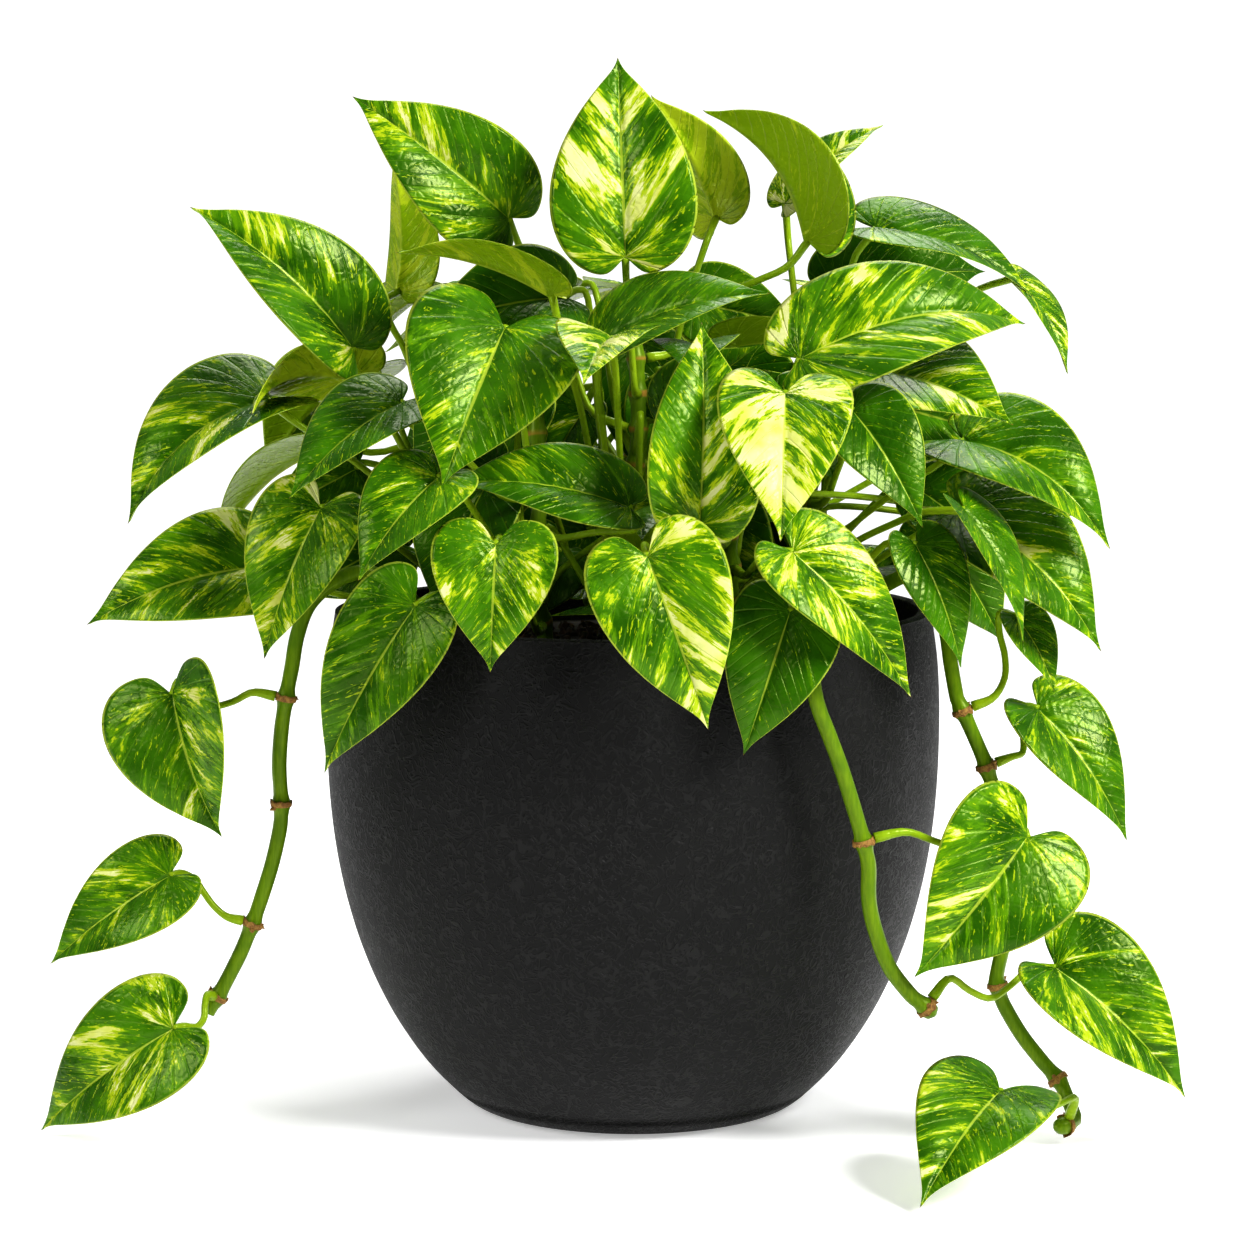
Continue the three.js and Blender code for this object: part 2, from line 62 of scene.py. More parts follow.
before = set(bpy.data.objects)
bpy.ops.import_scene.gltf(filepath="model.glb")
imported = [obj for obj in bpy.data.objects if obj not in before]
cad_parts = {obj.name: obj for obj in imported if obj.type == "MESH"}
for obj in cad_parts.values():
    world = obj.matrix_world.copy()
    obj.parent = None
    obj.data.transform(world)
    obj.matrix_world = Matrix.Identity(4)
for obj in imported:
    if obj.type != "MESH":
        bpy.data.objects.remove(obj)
CAD_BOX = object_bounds()
MM = 0.001
WELD = 2e-6  # points of the model nearer to each other than this are one
NEAR = 1e-5  # points of the model this close to a plane lie on it
RING_SIDES = {"leaf_": 4, "crown_stem_": 6, "vine_": 8}  # of each kind of node, by its name's start
LEAF_NODES = sorted(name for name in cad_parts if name.startswith("leaf_"))
STEM_NODES = sorted(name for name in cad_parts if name.startswith(("crown_stem", "vine_")))
GREEN_SHEEN = (0.85, 1, 0.3)


# ---------- sizes and colours that a user would change ----------


def metres(name, description, default):
    return bpy.props.FloatProperty(name=name, description=description, default=default, unit="LENGTH")


def number(name, description, default):
    return bpy.props.FloatProperty(name=name, description=description, default=default)


def tally(name, description, default):
    return bpy.props.IntProperty(name=name, description=description, default=default)


def tint(name, description, *default):
    return bpy.props.FloatVectorProperty(name=name, description=description, subtype="COLOR", default=default)


class PothosLeafSettings(bpy.types.PropertyGroup):
    rows: tally("Rows", "Rows of faces from a blade's notch to its tip", 54)
    columns: tally("Columns", "Columns of faces on each half of a blade", 14)
    thickness: metres("Thickness", "How thick a blade is beside its midrib", 0.8 * MM)
    puff: metres("Puff", "How far the middle of each half stands proud of its edges", 1.5 * MM)
    groove: metres("Midrib groove", "How deep the midrib lies below the upper side", 0.75 * MM)
    quilting: metres("Quilting", "How far the blade swells between its side veins", 0.4 * MM)
    veins: number("Side veins", "Side veins on each half, over the blade's whole length", 9)
    flutter: metres("Flutter", "How far the edge waves up and down", 0.8 * MM)
    drip_tip: number("Drip tip", "The share of its width that a blade gives up towards its tip", 0.4)
    green: tint("Green", "The blade's main colour", 0.05, 0.17, 0.002)
    deep_green: tint("Deep green", "The darkest green", 0.016, 0.075, 0.001)
    lime: tint("Lime", "Flecks and the borders of the cream", 0.36, 0.47, 0.008)
    cream: tint("Cream", "The palest patches", 0.66, 0.68, 0.3)
    spares: tally("Inner leaves", "The most inner and rear leaves to add to the crown", 120)
    tries: tally("Tries", "How many places are tried for the inner leaves", 13000)


class PothosStemSettings(bpy.types.PropertyGroup):
    sides: tally("Sides", "Faces round a stem", 14)
    step: metres("Step", "Length of one face along a stem", 1.6 * MM)
    green: tint("Green", "A stem's main colour", 0.09, 0.175, 0.003)
    bark: tint("Bark", "The papery brown of the leaf nodes", 0.36, 0.2, 0.035)


class PothosBowlSettings(bpy.types.PropertyGroup):
    sides: tally("Sides", "Faces round the bowl", 160)
    foot_round: metres("Foot rounding", "Radius of the foot's lower edge", 5 * MM)
    charcoal: tint("Charcoal", "The bowl's colour", 0.0038, 0.0038, 0.0035)
    soil: tint("Soil", "The potting mix's colour", 0.03, 0.018, 0.01)
    lumps: metres("Lumps", "How far the soil's surface rises and falls", 1.4 * MM)
    crumb: metres("Crumb", "Radius of the largest bark crumb", 3.2 * MM)
    crumbs: number("Crumbs", "Bark crumbs for each square metre of soil", 42000)


class PothosStageSettings(bpy.types.PropertyGroup):
    distance: metres("Distance", "From the plant's axis to the camera", 1.4)
    height: metres("Height", "The camera's height", 0.35)
    aim: metres("Aim", "The height that the camera looks at", 0.1915)
    aside: metres("Aside", "How far right of the plant's axis the camera stands", -2.4 * MM)
    view: bpy.props.FloatProperty(
        name="Field of view", description="The camera's field of view", subtype="ANGLE",
        default=math.radians(20.2))
    floor: metres("Floor", "Radius of the floor", 1.7)


# ---------- shader maths ----------


class Value:
    """One output of a shader node. Arithmetic on it adds the Math nodes that do the sum."""

    def __init__(self, finish, socket):
        self.finish = finish
        self.socket = socket

    def maths(self, operation, *others):
        return self.finish.node("ShaderNodeMath", {"operation": operation}, [self, *others])

    def __add__(self, other):
        return self.maths("ADD", other)

    def __sub__(self, other):
        return self.maths("SUBTRACT", other)

    def __rsub__(self, other):
        return self.finish.node("ShaderNodeMath", {"operation": "SUBTRACT"}, [other, self])

    def __mul__(self, other):
        return self.maths("MULTIPLY", other)

    def __abs__(self):
        return self.maths("ABSOLUTE")

    def rises(self, low, high):
        """0 below low, 1 above high and smooth between; low may be the higher of the two."""
        settings = {"interpolation_type": "SMOOTHSTEP"}
        if low > high:
            return 1 - self.finish.node("ShaderNodeMapRange", settings, [self, high, low])
        return self.finish.node("ShaderNodeMapRange", settings, [self, low, high])


class Finish:
    """A material on one Principled shader, built up node by node."""

    def __init__(self, name):
        self.material = bpy.data.materials.new(name)
        self.material.use_nodes = True
        self.tree = self.material.node_tree
        self.shader = self.tree.nodes["Principled BSDF"]

    def put(self, socket, value):
        if isinstance(value, Value):
            self.tree.links.new(value.socket, socket)
        else:
            plain = socket.type == "RGBA" and len(value) == 3
            socket.default_value = (*value, 1) if plain else value

    def node(self, kind, settings=None, inputs=(), output=0):
        """Adds a node: its settings first, then its inputs, a list in order or a dict by name or number."""
        made = self.tree.nodes.new(kind)
        for name, setting in (settings or {}).items():
            setattr(made, name, setting)
        pairs = inputs.items() if isinstance(inputs, dict) else enumerate(inputs)
        for key, value in pairs:
            self.put(made.inputs[key], value)
        return Value(self, made.outputs[output])

    def number(self, name):
        """A mesh attribute of one number."""
        return self.node("ShaderNodeAttribute", {"attribute_name": name}, output="Fac")

    def numbers(self, name):
        """The three numbers of a vector attribute."""
        vector = self.node("ShaderNodeAttribute", {"attribute_name": name}, output="Vector")
        return [self.node("ShaderNodeSeparateXYZ", None, [vector], output=i) for i in range(3)]

    def places(self):
        return self.node("ShaderNodeTexCoord", output="Object")

    def vector(self, x, y, z):
        return self.node("ShaderNodeCombineXYZ", None, [x, y, z])

    def noise(self, vector, scale, detail=2.0, roughness=0.5, distortion=0.0):
        inputs = {"Vector": vector, "Scale": scale, "Detail": detail, "Roughness": roughness,
                  "Distortion": distortion}
        return self.node("ShaderNodeTexNoise", None, inputs)

    def blend(self, share, first, second):
        """A colour between two, by share."""
        return self.node("ShaderNodeMix", {"data_type": "RGBA"}, {0: share, 6: first, 7: second}, output=2)

    def bump(self, height, distance, strength=1.0):
        inputs = {"Height": height, "Distance": distance, "Strength": strength}
        return self.node("ShaderNodeBump", None, inputs)

    def surface(self, **values):
        """Sets the shader's own inputs, whose names have _ for a space."""
        for name, value in values.items():
            self.put(self.shader.inputs[name.replace("_", " ")], value)
        return self.material


def leaf_finish(leaf):
    """Waxy green, marbled along the side veins with lime and cream; pale underneath and on the stalk."""
    finish = Finish("variegated_leaf")
    vein, across, along = finish.numbers("veins")
    seed, cream, under = finish.numbers("leaf")
    reach = finish.number("reach")
    side = across.maths("SIGN") * 0.37 + seed * 19
    out = abs(across)

    def marbling(across_veins, along_veins, shift, detail, roughness, distortion):
        """Noise drawn out along the side veins, with so many cells to the blade's length each way."""
        place = finish.vector(vein * across_veins, reach * along_veins, side + shift)
        return finish.noise(place, 1.0, detail, roughness, distortion)

    patches = marbling(4.6, 2.4, 0.0, 3.5, 0.62, 0.7)
    streaks = marbling(14, 5.4, 5.0, 5.0, 0.72, 1.5)
    flecks = marbling(42, 22, 9.0, 3.0, 0.6, 0.9)
    mottle = finish.noise(finish.places(), 60, 3.0)

    blotch = patches + cream * 0.17 - 0.02 + (streaks - 0.5) * 0.4 + (flecks - 0.5) * 0.16
    pale = blotch.rises(0.67, 0.69)
    yellow = (blotch + (flecks - 0.5) * 0.12).rises(0.61, 0.638)
    speckle = flecks.rises(0.61, 0.64) * (streaks + cream * 0.12).rises(0.45, 0.52)
    lime_share = yellow.maths("MAXIMUM", speckle * 0.85)

    side_vein = abs(finish.node("ShaderNodeMath", {"operation": "PINGPONG"}, [vein * leaf.veins, 0.5]))
    fine_vein = side_vein.rises(0.07, 0.0) * out.rises(0.03, 0.2) * 0.45
    midrib = out.rises(0.03, 0.012)
    edge = out.rises(0.962, 0.985)

    mid = patches * 0.6 + streaks * 0.4 + cream * 0.08
    green = finish.blend(mottle.rises(0.3, 0.72), leaf.deep_green, leaf.green)
    green = finish.blend(mid.rises(0.5, 0.57) * 0.7, green, (0.12, 0.28, 0.003))
    # Where cream is below zero the green darkens towards deep green; on the inner leaves this is painted
    # shade of the crown's inside.
    green = finish.blend(cream.rises(-0.2, -1.0) * 0.75, green, leaf.deep_green)
    upper = finish.blend(fine_vein * 0.55, green, (0.16, 0.34, 0.012))
    upper = finish.blend(lime_share, upper, leaf.lime)
    warm = finish.blend(mottle.rises(0.35, 0.7), leaf.cream, (0.52, 0.57, 0.08))
    upper = finish.blend(pale, upper, warm)
    upper = finish.blend((midrib * 0.6).maths("MAXIMUM", edge * 0.8), upper, (0.5, 0.62, 0.06))

    marbled = lime_share.maths("MAXIMUM", pale) * 0.75
    lower = finish.blend(marbled, (0.22, 0.36, 0.004), (0.46, 0.56, 0.02))
    lower = finish.blend(fine_vein + midrib, lower, (0.4, 0.52, 0.04))
    blade = finish.blend(under.rises(0.4, 0.6), upper, lower)
    blade = finish.blend(along.rises(0.982, 0.998), blade, (0.2, 0.1, 0.02))

    stalk = finish.blend(mottle, (0.14, 0.28, 0.005), (0.32, 0.44, 0.012))
    colour = finish.blend(along.rises(-0.001, 0.0), stalk, blade)

    cells = finish.node("ShaderNodeTexVoronoi", {"feature": "DISTANCE_TO_EDGE"},
                        {"Vector": finish.places(), "Scale": 260.0}, output="Distance")
    relief = cells.rises(0.0, 0.25) * 0.5 - side_vein.rises(0.1, 0.0) * out.rises(0.03, 0.15) * 1.4
    relief = relief + patches * 1.6
    normal = finish.bump(relief, 0.26 * MM, 0.6)
    return finish.surface(Base_Color=colour, Roughness=mottle * 0.16 + 0.2, Normal=normal, Coat_Weight=0.03,
                          Coat_Roughness=0.12, Specular_IOR_Level=0.3, Specular_Tint=GREEN_SHEEN)


def stem_finish(stem):
    """Satin green with long pale streaks, browning at each leaf node."""
    finish = Finish("vine_stem")
    scar = finish.number("scar")
    place = finish.places()
    drawn = finish.node("ShaderNodeMapping", None, {"Vector": place, "Scale": (1, 1, 0.12)})
    streaks = finish.noise(drawn, 900, 3.0, 0.6)
    mottle = finish.noise(place, 90, 2.0)
    colour = finish.blend(streaks.rises(0.35, 0.7) * 0.5, stem.green, (0.19, 0.3, 0.006))
    colour = finish.blend(mottle.rises(0.45, 0.75) * 0.5, colour, (0.05, 0.13, 0.003))
    colour = finish.blend((scar + (mottle - 0.5) * 0.5).rises(0.72, 1.0), colour, stem.bark)
    normal = finish.bump(streaks, 0.1 * MM, 0.4)
    return finish.surface(Base_Color=colour, Roughness=mottle * 0.2 + 0.25, Normal=normal,
                          Specular_IOR_Level=0.4, Specular_Tint=GREEN_SHEEN)


def bark_finish(stem):
    """Dry, papery brown with darker fibres."""
    finish = Finish("papery_node")
    fibres = finish.noise(finish.places(), 700, 4.0, 0.7, 1.2)
    colour = finish.blend(fibres.rises(0.35, 0.65), (0.16, 0.065, 0.01), stem.bark)
    normal = finish.bump(fibres, 0.3 * MM, 0.8)
    return finish.surface(Base_Color=colour, Roughness=0.75, Normal=normal)


def bowl_finish(bowl):
    """Matt charcoal with a fine relief of winding lines."""
    finish = Finish("charcoal_bowl")
    place = finish.places()
    winding = finish.noise(place, 150, 1.0, 0.4, 1.8)
    ridge = abs(winding - 0.5).rises(0.055, 0.02)
    second = finish.noise(place, 120, 1.0, 0.4, 2.4)
    ridge = ridge.maths("MAXIMUM", abs(second - 0.47).rises(0.045, 0.015))
    dust = finish.noise(place, 26, 4.0, 0.6)
    grain = finish.noise(place, 2600, 2.0)
    colour = finish.blend(ridge * 0.4, bowl.charcoal, (0.014, 0.014, 0.013))
    colour = finish.blend(dust.rises(0.45, 0.8) * 0.35, colour, (0.012, 0.012, 0.011))
    normal = finish.bump(ridge + grain * 0.1, 0.4 * MM, 1.0)
    rough = 0.58 - ridge * 0.1 + (dust - 0.5) * 0.1
    return finish.surface(Base_Color=colour, Roughness=rough, Normal=normal, Specular_IOR_Level=0.2)


def soil_finish(bowl):
    """Dark, damp peat."""
    finish = Finish("potting_mix")
    place = finish.places()
    clumps = finish.noise(place, 240, 5.0, 0.7)
    colour = finish.blend(clumps.rises(0.35, 0.7), (0.008, 0.005, 0.003), bowl.soil)
    return finish.surface(Base_Color=colour, Roughness=0.95, Normal=finish.bump(clumps, 1.2 * MM))


def crumb_finish(bowl):
    """Bark crumbs, from near black to a dull brown."""
    finish = Finish("bark_crumbs")
    place = finish.places()
    tone = finish.noise(place, 110, 1.0)
    fibres = finish.noise(place, 1200, 3.0, 0.7)
    colour = finish.blend(tone.rises(0.35, 0.65), (0.012, 0.007, 0.004), (0.075, 0.04, 0.018))
    return finish.surface(Base_Color=colour, Roughness=0.9, Normal=finish.bump(fibres, 0.3 * MM))


# ---------- Geometry Nodes ----------


class Growth:
    """A Geometry Nodes tree with named inputs, run once on an object and baked into a plain mesh."""

    def __init__(self, name, inputs):
        self.tree = bpy.data.node_groups.new(name, "GeometryNodeTree")
        add = self.tree.interface.new_socket
        add("Geometry", in_out="INPUT", socket_type="NodeSocketGeometry")
        add("Geometry", in_out="OUTPUT", socket_type="NodeSocketGeometry")
        self.values = {}
        for label, (kind, value) in inputs.items():
            socket = add(label, in_out="INPUT", socket_type="NodeSocket" + kind)
            self.values[socket.identifier] = value
        self.inlet = self.tree.nodes.new("NodeGroupInput")
        self.outlet = self.tree.nodes.new("NodeGroupOutput")

    def given(self, label):
        return self.inlet.outputs[label]

    def node(self, kind, settings=None, inputs=None):
        made = self.tree.nodes.new(kind)
        for name, setting in (settings or {}).items():
            setattr(made, name, setting)
        for key, value in (inputs or {}).items():
            if isinstance(value, bpy.types.NodeSocket):
                self.tree.links.new(value, made.inputs[key])
            else:
                made.inputs[key].default_value = value
        return made

    def named(self, name, kind="FLOAT"):
        """What the points hold under a name."""
        return self.node("GeometryNodeInputNamedAttribute", {"data_type": kind}, {"Name": name}).outputs[0]

    def grow(self, geometry, on, name, material):
        """Ends the tree in real geometry of one material, and returns its result on an object."""
        real = self.node("GeometryNodeRealizeInstances", None, {"Geometry": geometry})
        painted = self.node("GeometryNodeSetMaterial", None,
                            {"Geometry": real.outputs[0], "Material": material})
        self.tree.links.new(painted.outputs[0], self.outlet.inputs[0])
        modifier = on.modifiers.new("growth", "NODES")
        modifier.node_group = self.tree
        for identifier, value in self.values.items():
            modifier[identifier] = value
        grown = on.evaluated_get(bpy.context.evaluated_depsgraph_get())
        mesh = bpy.data.meshes.new_from_object(grown)
        on.modifiers.remove(modifier)
        bpy.data.objects.remove(on)
        mesh.name = name
        return placed(name, mesh)


def stem_growth(route, name, stem, material):
    """A stem of round section that follows a line of points, each with its own thickness."""
    inputs = {"Sides": ("Int", stem.sides), "Step": ("Float", stem.step)}
    growth = Growth("stem_along_a_line", inputs)
    line = growth.node("GeometryNodeMeshToCurve", None, {"Mesh": growth.given("Geometry")})
    smooth = growth.node("GeometryNodeCurveSplineType", {"spline_type": "CATMULL_ROM"},
                         {"Curve": line.outputs[0]})
    even = growth.node("GeometryNodeResampleCurve", {"mode": "LENGTH"},
                       {"Curve": smooth.outputs[0], "Length": growth.given("Step")})
    ring = growth.node("GeometryNodeCurvePrimitiveCircle", None,
                       {"Resolution": growth.given("Sides"), "Radius": 1.0})
    tube = growth.node("GeometryNodeCurveToMesh", None,
                       {"Curve": even.outputs[0], "Profile Curve": ring.outputs[0],
                        "Scale": growth.named("thickness"), "Fill Caps": True})
    soft = growth.node("GeometryNodeSetShadeSmooth", None, {"Geometry": tube.outputs[0]})
    return growth.grow(soft.outputs[0], route, name, material)


def scatter_growth(points, part, name, material):
    """One part on every point, turned along the point's own axis and sized by it."""
    growth = Growth("part_on_points", {"Part": ("Object", part)})
    info = growth.node("GeometryNodeObjectInfo", None, {"Object": growth.given("Part")})
    turn = growth.node("FunctionNodeAlignRotationToVector", {"axis": "Z"},
                       {"Vector": growth.named("axis", "FLOAT_VECTOR")})
    copies = growth.node("GeometryNodeInstanceOnPoints", None,
                         {"Points": growth.given("Geometry"), "Instance": info.outputs["Geometry"],
                          "Rotation": turn.outputs[0], "Scale": growth.named("size")})
    return growth.grow(copies.outputs[0], points, name, material)


def crumb_growth(ground, part, name, density, material):
    """Crumbs strewn over a surface, each turned and sized at random."""
    inputs = {"Crumb": ("Object", part), "Density": ("Float", density), "Seed": ("Int", 4)}
    growth = Growth("crumbs_on_soil", inputs)
    strewn = growth.node("GeometryNodeDistributePointsOnFaces", None,
                         {"Mesh": growth.given("Geometry"), "Density": growth.given("Density"),
                          "Seed": growth.given("Seed")})
    info = growth.node("GeometryNodeObjectInfo", None, {"Object": growth.given("Crumb")})
    turn = growth.node("FunctionNodeRandomValue", {"data_type": "FLOAT_VECTOR"},
                       {0: (0, 0, 0), 1: (6.28, 6.28, 6.28), "Seed": growth.given("Seed")})
    size = growth.node("FunctionNodeRandomValue", {"data_type": "FLOAT"},
                       {2: 0.35, 3: 1.0, "Seed": growth.given("Seed")})
    copies = growth.node("GeometryNodeInstanceOnPoints", None,
                         {"Points": strewn.outputs[0], "Instance": info.outputs["Geometry"],
                          "Rotation": turn.outputs[0], "Scale": size.outputs[1]})
    return growth.grow(copies.outputs[0], ground, name, material)


# ---------- meshes ----------


def placed(name, data):
    """An object in the scene that holds a mesh, a lamp or a camera."""
    piece = bpy.data.objects.new(name, data)
    bpy.context.collection.objects.link(piece)
    return piece


def mesh_piece(name, points, faces, material=None):
    """A smooth-shaded object made from points and faces."""
    mesh = bpy.data.meshes.new(name)
    mesh.from_pydata([tuple(p) for p in points], [], faces)
    mesh.polygons.foreach_set("use_smooth", [True] * len(mesh.polygons))
    if material:
        mesh.materials.append(material)
    return placed(name, mesh)


def set_vectors(mesh, name, values):
    attribute = mesh.attributes.new(name, "FLOAT_VECTOR", "POINT")
    attribute.data.foreach_set("vector", np.asarray(values, np.float32).ravel())


def set_numbers(mesh, name, values):
    attribute = mesh.attributes.new(name, "FLOAT", "POINT")
    attribute.data.foreach_set("value", np.asarray(values, np.float32))


def stand_for(piece, slot, *nodes):
    """The piece rides on the plant's one body and stands for model nodes, whose parts it hides. The slot is
    not used.
    """
    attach(piece, "root")
    if nodes:
        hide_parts(*nodes)


def spline(points, at):
    """Places on a smooth curve through points, where 0 is the first point and 1 the last."""
    points = np.asarray(points, float)
    padded = np.array([2 * points[0] - points[1], *points, 2 * points[-1] - points[-2]])
    spot = np.clip(np.asarray(at, float), 0, 1) * (len(points) - 1)
    start = np.minimum(spot.astype(int), len(points) - 2)
    f = (spot - start)[:, None]
    a, b, c, d = (padded[start + i] for i in range(4))
    square = (2 * a - 5 * b + 4 * c - d) * f ** 2
    cube = (3 * b - a - 3 * c + d) * f ** 3
    return 0.5 * (2 * b + (c - a) * f + square + cube)


def tube_frames(line):
    """Two directions across a line at each of its points, carried along it without a twist."""
    ahead = np.gradient(line, axis=0)
    ahead /= np.linalg.norm(ahead, axis=1)[:, None]
    side = np.cross(ahead[0], (0.3, 0.2, 0.93))
    sides = []
    for direction in ahead:
        side = side - direction * np.dot(side, direction)
        side = side / np.linalg.norm(side)
        sides.append(side)
    sides = np.array(sides)
    return sides, np.cross(sides, ahead)


def capped_tube(line, radii, around):
    """Points and faces of a closed round tube with a pole at each end."""
    sides, ups = tube_frames(line)
    turns = np.linspace(0, 2 * math.pi, around, endpoint=False)
    ring = np.cos(turns)[None, :, None] * sides[:, None] + np.sin(turns)[None, :, None] * ups[:, None]
    points = (line[:, None] + ring * np.asarray(radii)[:, None, None]).reshape(-1, 3)
    rings = len(line)
    faces = []
    for i in range(rings - 1):
        for j in range(around):
            k = (j + 1) % around
            faces.append((i * around + j, (i + 1) * around + j, (i + 1) * around + k, i * around + k))
    first, last = len(points), len(points) + 1
    for j in range(around):
        k = (j + 1) % around
        faces.append((first, j, k))
        faces.append((last, (rings - 1) * around + k, (rings - 1) * around + j))
    return np.vstack([points, line[:1], line[-1:]]), faces


# ---------- reading the model ----------


NODE_SWELL = 0.9 * MM  # how much a stem's radius grows at a leaf node


def welded(node):
    """A node's mesh with its points joined where they meet."""
    shape = bmesh.new()
    shape.from_mesh(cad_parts[node].data)
    bmesh.ops.remove_doubles(shape, verts=shape.verts, dist=WELD)
    return shape


def rings_of(node):
    """A skinned node's two end points and the rings between, in order and all turned one way.

    Round an end point, and on from ring to ring, every second side is split and has more neighbours.
    """
    shape = welded(node)
    beside = {v: {e.other_vert(v) for e in v.link_edges} for v in shape.verts}
    sides = next(count for start, count in RING_SIDES.items() if node.startswith(start))
    pole_signs = sorted([4] * (sides // 2) + [6] * (sides // 2))
    poles = [v for v in shape.verts
             if len(beside[v]) == sides and sorted(len(beside[n]) for n in beside[v]) == pole_signs]
    if len(poles) != 2:
        raise RuntimeError(f"{node} has {len(poles)} poles, not 2")
    reach = {p: min((n.co - p.co).length for n in beside[p]) for p in poles}
    foot, tip = sorted(poles, key=lambda p: (round(reach[p], 5), p.co.z))
    following = {}
    for face in foot.link_faces:
        loop = next(l for l in face.loops if l.vert is foot)
        following[loop.link_loop_next.vert] = loop.link_loop_next.link_loop_next.vert
    ring = [next(iter(following))]
    while following[ring[-1]] is not ring[0]:
        ring.append(following[ring[-1]])
    rings = [ring]
    seen = {foot, *ring}
    while tip not in beside[ring[0]]:
        ahead = [beside[v] - seen for v in ring]
        plain = {v for found in ahead if len(found) == 1 for v in found}
        ring = [next(iter(found if len(found) == 1 else found - plain)) for found in ahead]
        seen.update(ring)
        rings.append(ring)
    points = [np.array([v.co for v in r]) for r in rings]
    ends = np.array(foot.co), np.array(tip.co)
    shape.free()
    return points, ends


class Heart:
    """One leaf: the line of its stalk, and its midrib and both edges in rows from notch to tip."""

    def __init__(self, name, stalk, midrib, right, left):
        self.name = name
        self.stalk, self.midrib, self.right, self.left = (np.array(v) for v in (stalk, midrib, right, left))

    @classmethod
    def read(cls, node):
        rings, (foot, tip) = rings_of(node)
        spans = [(np.linalg.norm(r[0] - r[2]), np.linalg.norm(r[1] - r[3])) for r in rings]
        blade = next(i for i, (a, b) in enumerate(spans) if abs(a - b) > 0.05 * (a + b))
        middle = rings[(blade + len(rings)) // 2]
        rim = 0 if np.linalg.norm(middle[0] - middle[2]) > np.linalg.norm(middle[1] - middle[3]) else 1
        raised = (middle[rim] + middle[(rim + 2) % 4] - middle[rim - 1] - middle[(rim + 1) % 4]) / 2
        if np.dot(raised, middle[(rim + 1) % 4] - middle[rim - 1]) < 0:
            rim = (rim + 2) % 4
        rows = rings[blade:]
        notch = rings[blade - 1].mean(axis=0)
        midrib = [notch, *[(r[(rim + 1) % 4] + r[rim - 1]) / 2 for r in rows], tip]
        right = [notch, *[r[rim] for r in rows], tip]
        left = [notch, *[r[(rim + 2) % 4] for r in rows], tip]
        return cls(node, [r.mean(axis=0) for r in rings[:blade]], midrib, right, left)

    @property
    def length(self):
        return np.linalg.norm(self.midrib[-1] - self.midrib[0])


def lined_piece(node):
    """A stem node's centre line as linked points with their thickness, and which of them are leaf nodes."""
    rings, (_, tip) = rings_of(node)
    centres = [r.mean(axis=0) for r in rings]
    radii = [np.linalg.norm(r - c, axis=1).mean() for r, c in zip(rings, centres)]
    centres = np.array([*centres, (centres[-1] + tip) / 2, tip])
    radii = np.array([*radii, radii[-1] * 0.85, radii[-1] * 0.4])
    scar = np.clip((radii - np.median(radii)) / NODE_SWELL, 0, 1)
    mesh = bpy.data.meshes.new(node + "_line")
    mesh.from_pydata([tuple(c) for c in centres], [(i, i + 1) for i in range(len(centres) - 1)], [])
    set_numbers(mesh, "thickness", radii)
    set_numbers(mesh, "scar", scar)
    knots = [i for i in range(1, len(radii) - 1) if scar[i] > 0.5]
    return placed(node + "_line", mesh), centres, radii, knots


# ---------- leaves ----------


USUAL_BLADE = 0.07  # the length of the blade that puff and flutter are given for
FULL_WIDTH = 0.03  # a blade at least this wide puffs fully
GROOVE_WIDTH = 1.6 * MM
RIB_DEPTH = 0.9 * MM  # how far the midrib stands out beneath, at the notch
RIB_WIDTH = 1.5 * MM
VEIN_CURL = 1.1  # how strongly side veins swing towards the tip
LOBE_PACE = 0.35  # how closely side veins follow each other round a lobe
STALK_RADIUS = (1.35, 0.75, 0.3)  # in mm, and what it gains at the stem and at the blade
STALK_GRID = (22, 10)  # the steps and sides of a stalk
ROUGH_GRID = (9, 3, 8, 5)  # the rows, columns, steps and sides of a leaf that only tests for room


def vein_lines(along, aside):
    """The side vein that passes a point of a flat blade, and how far along that vein the point lies.

    Veins leave the midrib forwards and swing towards the tip. In the lobes they spread from the notch.
    Both distances are shares of the blade's length, from the notch.
    """
    aside = np.abs(aside)
    pinnate = along - aside - VEIN_CURL * aside ** 2
    turn = np.arctan2(aside, along) - np.arctan2(aside, aside + VEIN_CURL * aside ** 2)
    vein = np.where(pinnate > 0, pinnate, -LOBE_PACE * turn)
    return vein, np.hypot(aside, np.minimum(along, 0))


def relief(leaf, heart, rng, t, w, wide, vein):
    """How far each point of a blade stands off its flat sheet: puffed, grooved, quilted and waving."""
    out = np.abs(w)[None, :]
    size = heart.length / USUAL_BLADE
    ends = np.sin(math.pi * t[:, None] ** 0.8) ** 0.5
    belly = np.sin(math.pi * out ** 0.85) * ends
    lift = leaf.puff * size * belly * np.clip(wide / FULL_WIDTH, 0, 1)
    lift -= leaf.groove * np.exp(-((out * wide / GROOVE_WIDTH) ** 2)) * ends
    lift += leaf.quilting * np.cos(2 * math.pi * leaf.veins * vein) * -belly
    phase = rng.uniform(0, 6.28)
    waves = np.sin(t[:, None] * rng.uniform(9, 13) + phase + (w > 0) * rng.uniform(1, 3))
    return lift + leaf.flutter * size * waves * out ** 3 * ends


